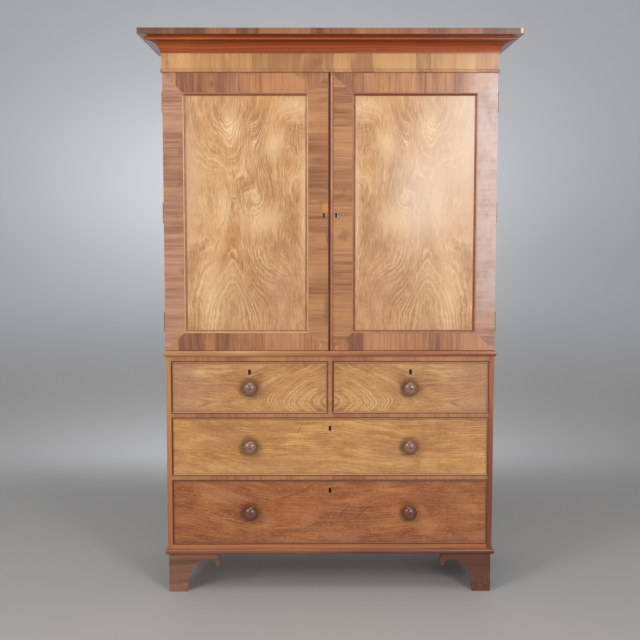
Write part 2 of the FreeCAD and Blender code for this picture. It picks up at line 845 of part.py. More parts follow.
def build_drawers():
    half_post = size.partition_thickness / 2
    both = (-knob_offset, knob_offset)
    build_drawer("upper_left_drawer", (-base_inner, -half_post, upper_low, upper_high),
                 both[:1], -short_lock_offset, size.upper_knob_lift)
    build_drawer("upper_right_drawer", (half_post, base_inner, upper_low, upper_high),
                 both[1:], short_lock_offset, size.upper_knob_lift)
    build_drawer("middle_drawer", (-base_inner, base_inner, middle_low, middle_high),
                 both, 0, size.middle_knob_lift)
    build_drawer("lower_drawer", (-base_inner, base_inner, lower_low, lower_high),
                 both, 0, size.lower_knob_lift, lined=True)


# ---------------------------------------------------------------- cupboard


def hinge_levels():
    """The height of each hinge's middle: one near each end of the door and one halfway."""
    low = door_low + size.hinge_end_distance
    high = door_high - size.hinge_end_distance
    step = (high - low) / (HINGE_COUNT - 1)
    return [low + index * step for index in range(HINGE_COUNT)]


def cupboard_side(name, sign):
    """A side of the cupboard, its front edge let in for the hinge leaves."""
    item = body(name)
    outer = upper_half * sign
    inner = upper_inner * sign
    pad(item, f"{name}_board", "XY", 0,
        [rectangle(outer, 0, inner, back - carcass_front)], cupboard_high - cupboard_low)
    leaf_edge = outer - size.leaf_width * sign
    for number, level in enumerate(hinge_levels()):
        low = level - cupboard_low - size.hinge_height / 2
        pocket(item, f"{name}_hinge_seat_{number + 1}", "XZ", 0,
               [rectangle(outer, low, leaf_edge, low + size.hinge_height)], size.leaf_thickness)
    return place(item, (0, carcass_front, cupboard_low))


def linen_tray(name, low):
    """A sliding tray: a scooped front, two sides, a lower back and a bottom inside them."""
    half = upper_inner - size.tray_side_gap
    thick = size.tray_board
    start = carcass_front + size.tray_front_setback
    end = back_board_front - size.tray_back_gap
    run = end - start
    scoop = size.tray_scoop_width / 2
    scooped = body(f"{name}_front")
    high = size.tray_height
    outline = [(-half, 0), (half, 0), (half, high), (scoop, high, -size.tray_scoop_depth),
               (-scoop, high), (-half, high)]
    pad(scooped, f"{name}_front_board", "XZ", 0, [outline], thick)
    place(scooped, (0, start, low))
    side = (thick, run - thick, high)
    inner = half - thick
    back_high = high - size.tray_back_drop
    return [
        scooped,
        board(f"{name}_side_left", (-half, start + thick, low), side),
        board(f"{name}_side_right", (inner, start + thick, low), side),
        board(f"{name}_back", (-inner, end - thick, low), (2 * inner, thick, back_high)),
        board(f"{name}_bottom", (-inner, start + thick, low),
              (2 * inner, run - 2 * thick, size.tray_bottom)),
    ]


def build_cupboard():
    node("upper_side_left", cupboard_side("upper_side_left", -1))
    node("upper_side_right", cupboard_side("upper_side_right", 1))
    depth = back_board_front - carcass_front
    thick = size.side_thickness
    levels = (("upper_bottom_board", cupboard_low), ("upper_top_board", cupboard_high - thick))
    for name, low in levels:
        node(name, board(name, (-upper_inner, carcass_front, low), (2 * upper_inner, depth, thick)))
    node("upper_back_boards",
         *panel_of_boards("upper_back_board", upper_inner, cupboard_low, cupboard_high))
    inside_low = cupboard_low + thick
    pitch = (cupboard_high - thick - inside_low) / TRAY_COUNT
    runner = size.tray_runner_size
    start = carcass_front + size.tray_front_setback
    extent = (runner, back_board_front - start, runner)
    trays = []
    runners = []
    for number in range(TRAY_COUNT):
        low = inside_low + pitch * number
        runners.append(board(f"tray_runner_left_{number + 1}", (-upper_inner, start, low), extent))
        runners.append(board(f"tray_runner_right_{number + 1}", (upper_inner - runner, start, low), extent))
        trays.extend(linen_tray(f"linen_tray_{number + 1}", low + runner))
    node("tray_runners", *runners)
    node("linen_trays", *trays)


# ---------------------------------------------------------------- doors


def door_stile(name, outer, inner, tongue=None):
    """An upright of a door frame in plan: grooved for the panel on its inner edge."""
    groove_near = size.panel_setback
    groove_far = groove_near + size.panel_thickness
    toward = 1 if inner.value > outer.value else -1
    notch = inner - size.panel_groove * toward
    thick = size.door_thickness
    outline = [(outer, 0), (inner, 0), (inner, groove_near), (notch, groove_near),
               (notch, groove_far), (inner, groove_far), (inner, thick), (outer, thick)]
    if tongue is not None:
        outline[-1:] = [(tongue, thick), (tongue, size.tongue_setback), (outer, size.tongue_setback)]
    item = body(name)
    pad(item, f"{name}_board", "XY", 0, [outline], size.door_height)
    return place(item, (0, front, door_low))


def door_rail(name, left, right, low, width, groove_up):
    """A cross rail: grooved on the edge that meets the panel, with a stub tenon at each end."""
    thick = size.door_thickness
    near = size.panel_setback
    far = near + size.panel_thickness
    deep = size.panel_groove
    edge, notch = (width, width - deep) if groove_up else (length(0), deep)
    plain = length(0) if groove_up else width
    outline = [(0, plain), (0, edge), (near, edge), (near, notch), (far, notch), (far, edge), (thick, edge),
               (thick, plain)]
    item = body(name)
    pad(item, f"{name}_board", "YZ", left, [outline], right - left)
    tenon = rectangle(near, plain, far, notch)
    pad(item, f"{name}_tenon", "YZ", left - deep, [tenon], right - left + 2 * deep)
    return place(item, (0, front, low))


def panel_moulding(name, left, right, low, high):
    """A small ogee bead in the angle between the panel and its frame."""
    wide = size.panel_moulding_width
    tall = size.panel_moulding_height
    profile = [
        (0, 0),
        (wide, 0),
        (wide, size.panel_moulding_edge, -size.panel_moulding_round),
        (size.panel_moulding_step_width, size.panel_moulding_step, size.panel_moulding_round),
        (size.panel_moulding_flat, tall),
        (0, tall),
    ]
    plane_y = front + size.panel_setback
    return node(name, *upright_frame(name, profile, left, right, low, high, plane_y, wide))


def door_leaf(name, level):
    """The door's half of a left-hand hinge: a plate let into the door, and its two knuckles."""
    low = level - size.hinge_height / 2
    knuckle = (size.hinge_height - 2 * size.knuckle_gap) / 3
    plate_y = front + size.door_thickness - size.leaf_thickness
    plate = board(f"{name}_plate", (-upper_half, plate_y, low),
                  (size.leaf_width, size.leaf_thickness, size.hinge_height))
    pieces = [plate]
    for label, foot in (("low", low), ("high", low + 2 * (knuckle + size.knuckle_gap))):
        pieces.append(board(f"{name}_tab_{label}", (pin_x, plate_y, foot),
                            (-upper_half - pin_x, size.leaf_thickness, knuckle)))
        pieces.append(rod(f"{name}_knuckle_{label}", (pin_x, pin_y, foot), size.knuckle_radius, knuckle))
    whole = doc.addObject("Part::MultiFuse", f"{name}_solid")
    whole.Shapes = pieces
    bore = rod(f"{name}_bore", (pin_x, pin_y, low), size.pin_radius + size.pin_clearance, size.hinge_height)
    leaf = doc.addObject("Part::Cut", name)
    leaf.Base = whole
    leaf.Tool = bore
    return leaf


def case_leaf(name, level):
    """The case's half of a left-hand hinge: a plate, the middle knuckle and the pin fixed in it."""
    low = level - size.hinge_height / 2
    knuckle = (size.hinge_height - 2 * size.knuckle_gap) / 3
    foot = low + knuckle + size.knuckle_gap
    pieces = [
        board(f"{name}_plate", (-upper_half, carcass_front, low),
              (size.leaf_width, size.leaf_thickness, size.hinge_height)),
        board(f"{name}_tab", (pin_x, carcass_front, foot),
              (-upper_half - pin_x, size.leaf_thickness, knuckle)),
        rod(f"{name}_knuckle", (pin_x, pin_y, foot), size.knuckle_radius, knuckle),
        rod(f"{name}_pin", (pin_x, pin_y, low), size.pin_radius, size.hinge_height),
    ]
    whole = doc.addObject("Part::MultiFuse", name)
    whole.Shapes = pieces
    return whole


pin_x = -upper_half - size.knuckle_radius - size.knuckle_stand_off
pin_y = carcass_front - size.door_back_gap / 2


def build_hinges():
    """Three butt hinges a side; the right-hand set mirrors the left-hand one."""
    levels = list(enumerate(hinge_levels(), start=1))
    leaves = node("left_door_hinges", *[door_leaf(f"left_door_leaf_{n}", level) for n, level in levels])
    node("right_door_hinges", mirrored("right_door_hinges", leaves))
    fixed = [case_leaf(f"left_case_leaf_{n}", level) for n, level in levels]
    opposite = [mirrored(f"right_case_leaf_{n}", leaf) for n, leaf in enumerate(fixed, start=1)]
    node("fixed_hinge_leaves", *fixed, *opposite)


def hinge_seats(stile, name, sign):
    """Shallow seats in the back of a hinge stile for the hinge leaves."""
    outer = upper_half * sign
    for number, level in enumerate(hinge_levels()):
        low = level - door_low - size.hinge_height / 2
        seat = rectangle(outer, low, outer - size.leaf_width * sign, low + size.hinge_height)
        pocket(stile, f"{name}_seat_{number + 1}", "XZ", size.door_thickness, [seat],
               size.leaf_thickness, forward=False)


def door_keyhole(centre_x, grow=0):
    return keyhole(centre_x, size.door_keyhole_rise, size.door_keyhole_radius, size.door_keyhole_slot_width,
                   size.door_keyhole_foot_width, size.door_keyhole_length, size.keyhole_foot_round, grow)


def build_left_door():
    outer = -upper_half
    lock_edge = -size.meeting_gap
    hinge_inner = outer + size.hinge_stile_width
    lock_inner = lock_edge - size.left_lock_stile_width
    hinge_stile = door_stile("left_door_hinge_stile", outer, hinge_inner)
    hinge_seats(hinge_stile, "left_door_hinge_stile", -1)
    node("left_door_hinge_stile", hinge_stile)
    lock_stile = door_stile("left_door_lock_stile", lock_edge, lock_inner, -size.tongue_gap)
    pocket(lock_stile, "left_keyhole", "XZ", 0, [door_keyhole(-size.left_keyhole_offset)],
           size.left_keyhole_depth)
    spare = size.bolt_mortise_clearance
    bolt_low = size.door_keyhole_rise - size.door_bolt_height / 2
    bolt_near = bolt_front - spare
    mouth = rectangle(bolt_near, bolt_low - spare, bolt_near + size.door_bolt_thickness + 2 * spare,
                      bolt_low + size.door_bolt_height + spare)
    pocket(lock_stile, "left_bolt_mortise", "YZ", -size.tongue_gap, [mouth],
           size.door_bolt_travel + spare, forward=False)
    node("left_door_lock_stile", lock_stile)
    door_filling("left_door", hinge_inner, lock_inner)


def build_right_door():
    outer = upper_half
    hinge_inner = outer - size.hinge_stile_width
    lock_inner = size.right_lock_stile_width
    hinge_stile = door_stile("right_door_hinge_stile", outer, hinge_inner)
    hinge_seats(hinge_stile, "right_door_hinge_stile", 1)
    node("right_door_hinge_stile", hinge_stile)
    lock_stile = door_stile("right_door_lock_stile", length(0), lock_inner)
    case_low = size.door_keyhole_rise - size.door_lock_height / 2
    seat = rectangle(0, case_low, size.door_lock_width, case_low + size.door_lock_height)
    pocket(lock_stile, "right_lock_seat", "XZ", size.door_thickness, [seat], size.door_lock_thickness,
           forward=False)
    pocket(lock_stile, "right_keyhole", "XZ", 0, [door_keyhole(size.door_keyhole_offset)],
           size.door_thickness - size.door_lock_thickness)
    node("right_door_lock_stile", lock_stile)
    door_filling("right_door", lock_inner, hinge_inner)
    flat = size.astragal_out - size.astragal_round
    bead = [(0, 0), (0, -flat, size.astragal_round), (size.astragal_width, -flat), (size.astragal_width, 0)]
    astragal = body("right_door_astragal")
    pad(astragal, "right_door_astragal_bead", "XY", 0, [bead], size.door_height)
    node("right_door_astragal", place(astragal, (0, front, door_low)))
    build_door_lock(case_low)


bolt_front = size.door_thickness - size.door_lock_thickness / 2 - size.door_bolt_thickness / 2


def build_door_lock(case_low):
    """The right door's lock: a case let into the stile, its escutcheon, and a bolt that shoots left."""
    case = body("door_lock_case")
    thick = size.door_thickness
    block = rectangle(0, thick - size.door_lock_thickness, size.door_lock_width, thick)
    pad(case, "door_lock_block", "XY", case_low, [block], size.door_lock_height)
    gap = size.bolt_clearance
    bolt_low = size.door_keyhole_rise - size.door_bolt_height / 2
    way = rectangle(bolt_front - gap, bolt_low - gap, bolt_front + size.door_bolt_thickness + gap,
                    bolt_low + size.door_bolt_height + gap)
    pocket(case, "door_bolt_way", "YZ", 0, [way], size.door_bolt_length + 2 * gap)
    place(case, (0, front, door_low))
    plate = body("door_escutcheon")
    centre = size.door_keyhole_offset
    pad(plate, "door_escutcheon_ring", "XZ", -size.escutcheon_thickness,
        [door_keyhole(centre, size.escutcheon_rim), door_keyhole(centre)], size.escutcheon_thickness)
    place(plate, (0, front, door_low))
    node("right_door_lock", case, plate)
    node("right_door_lock_bolt",
         board("right_door_lock_bolt", (gap, front + bolt_front, door_low + bolt_low),
               (size.door_bolt_length, size.door_bolt_thickness, size.door_bolt_height)))


def door_filling(name, left, right):
    """What stands between a door's stiles: two rails, the panel and its moulding."""
    low = door_low + size.door_bottom_rail_width
    high = door_high - size.door_top_rail_width
    node(f"{name}_rails",
         door_rail(f"{name}_bottom_rail", left, right, door_low, size.door_bottom_rail_width, True),
         door_rail(f"{name}_top_rail", left, right, high, size.door_top_rail_width, False))
    reach = size.panel_groove - size.panel_play
    node(f"{name}_panel",
         board(f"{name}_panel", (left - reach, front + size.panel_setback, low - reach),
               (right - left + 2 * reach, size.panel_thickness, high - low + 2 * reach)))
    panel_moulding(f"{name}_panel_moulding", left, right, low, high)


# ---------------------------------------------------------------- cornice


def build_cornice():
    """A lift-off cornice: the frieze box with its bead, the mouldings, and the fascia with a dust board."""
    thick = size.frieze_thickness
    wall = [(0, 0), (thick, 0), (thick, fascia_low - cupboard_high), (0, fascia_low - cupboard_high)]
    pieces = three_sided("frieze", wall, frieze_width, cupboard_high, thick, length(0))
    half = frieze_width / 2
    pieces.append(board("frieze_rear", (-half + thick, back - thick, cupboard_high),
                        (frieze_width - 2 * thick, thick, fascia_low - cupboard_high)))
    flat = size.frieze_bead_out
    bead_reach = flat + size.frieze_bead_round
    high = size.frieze_bead_height
    bead = [(-flat, 0), (0, 0), (0, high), (-flat, high, size.frieze_bead_round)]
    pieces += three_sided("frieze_bead", bead, frieze_width, cupboard_high, length(0), bead_reach)
    node("cornice_frieze", *pieces)

    cove_low = size.cove_lip_height
    cove_high = cove_low + size.cove_height
    bead_high = bead_low + size.top_bead_height
    mouldings = [
        (0, 0),
        (0, moulding_height),
        (-size.quirk_out, moulding_height),
        (-size.quirk_out, bead_high, size.top_bead_round),
        (-size.quirk_out, bead_low),
        (-size.quirk_out, quirk_low),
        (-size.torus_foot_out, quirk_low, size.torus_round),
        (-size.torus_foot_out, torus_low),
        (-size.cove_top_out, torus_low),
        (-size.cove_top_out, cove_high, -size.cove_hollow),
        (-size.cove_lip, cove_low),
        (-size.cove_lip, 0),
    ]
    reach = size.torus_foot_out + size.torus_round
    node("cornice_moulding",
         *three_sided("cornice", mouldings, frieze_width, frieze_top, length(0), reach))

    fascia = [(-size.fascia_out, 0), (size.fascia_lap, 0), (size.fascia_lap, size.fascia_height),
              (-size.fascia_out, size.fascia_height)]
    pieces = three_sided("fascia", fascia, frieze_width, fascia_low, size.fascia_lap, size.fascia_out)
    edge = half - size.fascia_lap
    lid_front = front + size.fascia_lap
    pieces.append(board("dust_board", (-edge, lid_front, fascia_low),
                        (2 * edge, back - lid_front, size.dust_board_thickness)))
    node("cornice_fascia", *pieces)


# ---------------------------------------------------------------- build, check and write

build_base()
build_frames()
build_feet()
build_drawers()
build_cupboard()
build_hinges()
build_left_door()
build_right_door()
build_cornice()
doc.recompute()

for item in doc.Objects:
    trouble = [word for word in item.State if word in ("Invalid", "Error")]
    if trouble:
        raise RuntimeError(f"{item.Label} is {trouble[0]}")
for item in nodes:
    if item.Shape.isNull() or not item.Shape.isValid():
        raise RuntimeError(f"{item.Label} has no valid shape")

os.makedirs("parts", exist_ok=True)
for item in nodes:
    item.Shape.exportStep(os.path.join("parts", f"{item.Label}.step"))
print(f"{len(nodes)} sub-parts written")
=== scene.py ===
"""The looks of a mahogany linen press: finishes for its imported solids, a studio set and the camera.

Lengths are in metres, in the part's own frame: +X to the viewer's right, fronts face -Y, +Z up.
Every finish is worked out from object coordinates, so it belongs to the wood and moves with it.
"""
import math
from collections import namedtuple

import bmesh
import bpy
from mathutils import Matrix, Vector


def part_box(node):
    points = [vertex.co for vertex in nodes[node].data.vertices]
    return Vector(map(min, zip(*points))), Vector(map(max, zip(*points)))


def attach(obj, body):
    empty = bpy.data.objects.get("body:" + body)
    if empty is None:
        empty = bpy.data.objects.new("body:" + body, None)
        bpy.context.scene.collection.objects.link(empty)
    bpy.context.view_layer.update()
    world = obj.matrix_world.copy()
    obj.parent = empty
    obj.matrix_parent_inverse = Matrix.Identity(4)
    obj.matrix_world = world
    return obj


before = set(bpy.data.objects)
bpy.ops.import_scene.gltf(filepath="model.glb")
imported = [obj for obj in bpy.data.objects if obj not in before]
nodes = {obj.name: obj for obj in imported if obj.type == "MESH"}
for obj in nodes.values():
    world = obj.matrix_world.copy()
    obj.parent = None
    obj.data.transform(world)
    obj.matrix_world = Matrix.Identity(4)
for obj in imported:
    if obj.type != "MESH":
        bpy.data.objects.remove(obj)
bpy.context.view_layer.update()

# -------- colours

# A wood's lit and shaded tones, the streaks laid over them, and its pores.
Wood = namedtuple("Wood", "light dark streak pore")


def linear(code):
    """A six-digit screen colour as linear red, green, blue and alpha."""
    channels = [int(code[i:i + 2], 16) / 255 for i in (0, 2, 4)]
    return tuple(c / 12.92 if c <= 0.04045 else ((c + 0.055) / 1.055) ** 2.4 for c in channels) + (1,)


def wood(codes):
    return Wood(*[linear(code) for code in codes.split()])


CASE_WOOD = wood("b27850 8f5436 c08a5c 5a2f1e")
MOULDING_WOOD = wood("aa653e 844026 c47d4d 562010")
PALE_MOULDING_WOOD = wood("cb925c a56d42 dca86f 693b1f")
CORNICE_WOOD = wood("c25c20 8c340e e88833 4b1507")
PLINTH_WOOD = wood("7c3d24 5c2817 925535 321209")
PALE_PLINTH_WOOD = wood("9c5a36 743e25 b4764c 42200f")
EDGE_WOOD = wood("8a4428 642f1b a55c36 3a170b")
BOTTOM_RAIL_WOOD = wood("c47d48 9c5933 dc9a65 61321a")
OUTER_STILE_WOOD = wood("c29071 936149 cb9465 593527")
LOCK_STILE_WOOD = wood("bc8554 895231 cd9359 54301b")
TOP_RAIL_WOOD = wood("c28454 844b2e d19052 4e2919")
LOW_RAIL_WOOD = wood("c4875a 824e35 dc9962 4f2b1d")
RAIL_WOOD = wood("b97d4d 9a5d39 ca8e58 65371e")
FASCIA_WOOD = wood("985f38 62331c b27740 3d1c11")
FRIEZE_WOOD = wood("cd975c a67041 e4b67a 764326")
LEFT_FOOT_WOOD = wood("97674f 6c4736 a87658 3c231a")
RIGHT_FOOT_WOOD = wood("764530 522b19 88563a 2a140b")
DARK_DRAWER_WOOD = wood("ac6431 854321 d08a45 44200d")
WARM_DRAWER_WOOD = wood("cd9554 996238 f0c98a 60361b")
PALE_DRAWER_WOOD = wood("d49a57 a86f39 edbc79 683d1d")
PANEL_WOOD = wood("d7a26c a97242 eec897 7a4b2b")
OAK = wood("b98f5c 98703f c9a577 5f4120")
PINE = wood("bb8c5e 946540 cfa377 633e22")
KNOB_WOOD = wood("a27663 745042 be9783 2a1510")
LOW_KNOB_WOOD = wood("875340 4f2c22 a07058 25100b")
COCKBEAD = linear("b07852")
DARK_BEAD = linear("6a3923")
LIT_BEAD = linear("ebbb98")
CREST_HIGHLIGHT = linear("dcae92")
# Real dirt, pores and dark joints, and painted shade in creases and recesses.
GRIME_AND_SHADE = linear("3a1e14")
PINK = linear("c48f70")
ORANGE = linear("c98a3c")
OLIVE = linear("b49268")
MAUVE = linear("8c6258")
GREY_BLOOM = linear("a58a7c")
PAINTED_SHEEN = linear("ecd0b8")
SHEEN_PINK = linear("cbb3ad")
PALE_FLECK = linear("e2b794")
BARE_WOOD = linear("e8c795")
DULL = linear("9c7050")
FILLER_ORANGE = linear("d28632")
SHADOW = linear("5e260d")
HALO = linear("6a3413")
ROSE = linear("bf8157")
BLACK = linear("0d0806")

# -------- a short language for node trees


def operation(name, swapped=False):
    """A method that adds a Math node. Swapped, the other number comes first."""
    def method(self, *others):
        return self.net.math(name, *others, self) if swapped else self.net.math(name, self, *others)
    return method


class Signal:
    """A number that varies over a surface. Arithmetic on it adds nodes to its material."""

    __add__, __radd__ = operation("ADD"), operation("ADD", swapped=True)
    __sub__, __rsub__ = operation("SUBTRACT"), operation("SUBTRACT", swapped=True)
    __mul__, __truediv__, __pow__ = operation("MULTIPLY"), operation("DIVIDE"), operation("POWER")
    __abs__, sine, floor = operation("ABSOLUTE"), operation("SINE"), operation("FLOOR")
    least, most = operation("MINIMUM"), operation("MAXIMUM")

    def __init__(self, net, socket):
        self.net = net
        self.socket = socket

    def ramp(self, start, end):
        """Rises smoothly from 0 at start to 1 at end, or falls if start is the larger."""
        node = self.net.add("MapRange", interpolation_type="SMOOTHSTEP", clamp=True)
        foot, top = (0, 1) if start < end else (1, 0)
        self.net.fill(node, {"Value": self, "From Min": min(start, end), "From Max": max(start, end),
                             "To Min": foot, "To Max": top})
        return Signal(self.net, node.outputs["Result"])

    def hill(self, centre, width):
        """A bell curve, 1 at the centre."""
        away = (self - centre) / width
        return self.net.math("EXPONENT", away * away * -1)


# Where the Mix node keeps its colour sockets, which share their names with its other sockets.
COLOUR_A, COLOUR_B, COLOUR_RESULT = 6, 7, 2
COAT_ROUGHNESS = 0.22
RELIEF_DEPTH = 0.0006


class Net:
    """One material and its node tree."""

    def __init__(self, name):
        self.material = bpy.data.materials.new(name)
        self.material.use_nodes = True
        self.tree = self.material.node_tree
        self.tree.nodes.clear()
        self.shader = self.add("BsdfPrincipled")
        output = self.add("OutputMaterial")
        self.tree.links.new(self.shader.outputs["BSDF"], output.inputs["Surface"])
        place = self.add("SeparateXYZ")
        self.tree.links.new(self.add("TexCoord").outputs["Object"], place.inputs[0])
        self.x, self.y, self.z = [Signal(self, place.outputs[axis]) for axis in "XYZ"]

    def add(self, kind, **settings):
        node = self.tree.nodes.new("ShaderNode" + kind)
        for name, value in settings.items():
            setattr(node, name, value)
        return node

    def fill(self, node, values):
        """Sets a node's inputs, by name or number, to plain values or to signals."""
        for key, value in values.items():
            if isinstance(value, Signal):
                self.tree.links.new(value.socket, node.inputs[key])
            else:
                node.inputs[key].default_value = value

    def math(self, operation, *values):
        node = self.add("Math", operation=operation)
        self.fill(node, dict(enumerate(values)))
        return Signal(self, node.outputs[0])

    def noise(self, a, b, c, detail=2.0, roughness=0.5):
        """Smooth noise about 0.5, one unit of a, b and c to a blob."""
        place = self.add("CombineXYZ")
        self.fill(place, {"X": a, "Y": b, "Z": c})
        node = self.add("TexNoise", noise_dimensions="3D")
        self.fill(node, {"Vector": Signal(self, place.outputs[0]), "Scale": 1.0,
                         "Detail": detail, "Roughness": roughness})
        return Signal(self, node.outputs["Fac"])

    def chance(self, number):
        """A random number for each whole number."""
        node = self.add("TexWhiteNoise", noise_dimensions="1D")
        self.fill(node, {"W": number})
        return Signal(self, node.outputs["Value"])

    def blend(self, base, tone, *amounts):
        """Lays a colour over another, by each amount from 0 to 1 in turn."""
        for amount in amounts:
            node = self.add("Mix", data_type="RGBA", clamp_factor=True)
            self.fill(node, {"Factor": amount, COLOUR_A: base, COLOUR_B: tone})
            base = Signal(self, node.outputs[COLOUR_RESULT])
        return base

    def finish(self, colour, roughness, coat, height=None, strength=0.12, metallic=0.0):
        """Closes the material: colour, gloss, a thin polish and a little relief."""
        self.fill(self.shader, {"Base Color": colour, "Roughness": roughness, "Metallic": metallic,
                                "Coat Weight": coat, "Coat Roughness": COAT_ROUGHNESS})
        if height is not None:
            bump = self.add("Bump")
            self.fill(bump, {"Strength": strength, "Distance": RELIEF_DEPTH, "Height": height})
            self.tree.links.new(bump.outputs["Normal"], self.shader.inputs["Normal"])
        return self.material


def wear(*names, material):
    """Gives CAD nodes a material."""
    for name in names:
        slots = nodes[name].data.materials
        slots.clear()
        slots.append(material)


def dress(name, net, colour, gloss, relief):
    """Closes a material and gives it to a node. Gloss is its roughness and polish."""
    wear(name, material=net.finish(colour, *gloss, relief))


def span(name):
    """A node's lowest and highest corner."""
    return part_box(name)


# -------- wood

# Roughness and polish of each kind of surface.
FRAME_GLOSS, DOOR_BEAD_GLOSS, MOULDING_GLOSS = (0.36, 0.3), (0.32, 0.35), (0.33, 0.35)
FRIEZE_GLOSS, FASCIA_GLOSS, FOOT_GLOSS = (0.38, 0.3), (0.4, 0.2), (0.45, 0.15)
CASE_GLOSS, KNOB_GLOSS = (0.4, 0.25), (0.26, 0.4)
BOX_GLOSS, BACK_GLOSS, BOARD_GLOSS, RUNNER_GLOSS = (0.62, 0.0), (0.7, 0.0), (0.6, 0.0), (0.65, 0.0)

PORE_PITCH = 0.0012
PORE_LENGTH = PORE_PITCH * 22
# How thick the veneer is, and the depth over which it gives way to the wood behind.
VENEER, SEAM = 0.0015, 0.0005


def pores(net, across, along, through):
    """Short dark vessel lines along the grain, 0 to 1."""
    lines = net.noise(across / PORE_PITCH, along / PORE_LENGTH, through / PORE_PITCH, detail=1)
    return lines.ramp(0.62, 0.75)


def streaks(net, across, along, through, pitch, seed, detail=3.0):
    """Streaks along the grain, about 0.5."""
    return net.noise(across / pitch, along / (pitch * 28) + seed, through / pitch, detail=detail)


def plain_wood(net, look, along, across, through, seed, pitch=0.02, contrast=1.0):
    """Straight boards: wandering rings, fine streaks and pores. Returns colour and relief."""
    sway = net.noise(along * 1.1 + seed, across * 3, through * 3) - 0.5
    field = across + through * 0.6 + sway * 0.16
    rings = net.noise(field / pitch, along * 0.5 + seed, 3.1 * seed, detail=3)
    fine = streaks(net, across, along, through, pitch / 9, seed)
    tone = (rings * 0.7 + fine * 0.3).ramp(0.5 - 0.22 / contrast, 0.5 + 0.22 / contrast)
    colour = net.blend(look.dark, look.light, tone)
    broad = net.noise(along * 2.2, across * 7, through * 7 + seed)
    colour = net.blend(colour, look.streak, broad.ramp(0.5, 0.8) * 0.45)
    vessel = pores(net, across, along, through)
    colour = net.blend(colour, look.pore, vessel * 0.35)
    return colour, fine - vessel * 0.6


def crossband(net, look, along, across, through, seed, piece=0.16, mauve=0.35, patch=0.16):
    """Crossbanding: short pieces of veneer laid edge to edge, the grain over the band's width."""
    wobble = net.noise(across * 9, seed, 0.0) * 1.3
    part = (across / piece + wobble + seed).floor()
    tone = net.chance(part)
    sway = net.noise(along * 9 + seed, across * 14, through * 9) - 0.5
    place = across + sway * 0.006
    bands = net.noise(place / 0.0075, along * 4, seed, detail=5, roughness=0.75)
    wide = net.noise(place / 0.045, along * 2, seed + 3.0)
    level = (bands * (0.72 - patch) + wide * 0.28 + tone * patch).ramp(0.36, 0.62)
    fine = streaks(net, place, along, through, 0.0024, seed)
    colour = net.blend(look.dark, look.light, level)
    warm = net.noise(across * 18 + seed, along * 4, 7.0)
    colour = net.blend(colour, look.streak, warm.ramp(0.5, 0.72) * 0.4)
    colour = net.blend(colour, MAUVE, net.noise(across * 8, along * 5, seed + 4.0).ramp(0.48, 0.7) * mauve)
    smudge = net.noise(across * 16, along * 12, seed + 9.0, detail=3).ramp(0.62, 0.76)
    vessel = pores(net, across, along, through)
    colour = net.blend(colour, look.pore, smudge * 0.35, vessel * 0.3)
    return colour, fine - vessel * 0.6


def mixed(net, first, second, amount):
    """A wood part way between two others."""
    return Wood(*[net.blend(one, other, amount) for one, other in zip(first, second)])


def figured(net, look, rings, across, along, through, seed, spacing, cream, brown=0.16):
    """Figured veneer: lines where the rings come out, over clouds, streaks and pores.

    Cream and brown are how strongly the pale and dark lines show, and may vary from place to place.
    """
    drift = net.noise(rings / (spacing * 2.6), along * 1.8, seed, detail=3)
    turn = rings * (2 * math.pi / spacing) + drift * 10.0
    wave = turn.sine() * 0.5 + 0.5
    presence = net.noise(rings / (spacing * 4.5), along * 7, seed + 7.0).ramp(0.38, 0.62)
    thread = net.noise(rings / (spacing * 0.3), along * 3.2, seed + 2.0)
    flow = net.noise(rings / (spacing * 1.9), along * 6, seed + 4.0, detail=4, roughness=0.62)
    clouds = net.noise(across * 13 + seed, along * 6, seed, detail=5, roughness=0.64)
    broad = net.noise(across * 4.5 + seed, along * 2.6, seed + 6.0)
    fine = streaks(net, across, along, through, 0.0026, seed, detail=4)
    grain = net.noise(across / 0.0055, along / 0.05, seed + 11.0, detail=4, roughness=0.7)
    level = flow * 0.20 + clouds * 0.26 + broad * 0.18 + fine * 0.10 + grain * 0.26
    colour = net.blend(look.dark, look.light, level.ramp(0.42, 0.57))
    lines = wave ** 2.2 * presence * 0.8 + thread.ramp(0.54, 0.7) * 0.6
    colour = net.blend(colour, look.streak, flow.ramp(0.52, 0.72) * 0.45, lines * cream)
    grooves = (1.0 - wave) ** 5.0 * presence + thread.ramp(0.42, 0.28) * 0.7
    colour = net.blend(colour, look.pore, grooves * brown)
    colour = net.blend(colour, look.dark, fine.ramp(0.5, 0.7) * 0.35)
    vessel = pores(net, across, along, through)
    colour = net.blend(colour, look.pore, grain.ramp(0.58, 0.74) * 0.22, vessel * 0.25)
    return colour, fine - vessel * 0.5


def veneered(net, face, core, front, thickness=VENEER):
    """A veneer or facing on the front of a board of another wood."""
    return net.blend(face, core, net.y.ramp(front + thickness, front + thickness + SEAM))


def pine_behind(net, face, name, seed, skin):
    """Pine everywhere but within a skin at the front and the two ends of a node's box."""
    low, high = span(name)
    depth = (net.x - low.x).least(high.x - net.x).least(net.y - low.y)
    core, _ = plain_wood(net, PINE, net.x, net.y + net.z, net.z * 0.1, seed, pitch=0.03)
    dust = net.noise(net.x * 6, net.y * 6, seed, detail=4).ramp(0.4, 0.65)
    core = net.blend(core, GREY_BLOOM, dust * 0.35)
    return net.blend(face, core, depth.ramp(skin, skin + SEAM))


# -------- marks of use, and painted shade in keyholes


def distance(first, second):
    return (first * first + second * second) ** 0.5


def oval(across, up, middle_across, middle_up, wide, tall):
    """A soft oval, 1 at its middle."""
    return across.hill(middle_across, wide) * up.hill(middle_up, tall)


SCRATCH_WIDTH = 0.0020


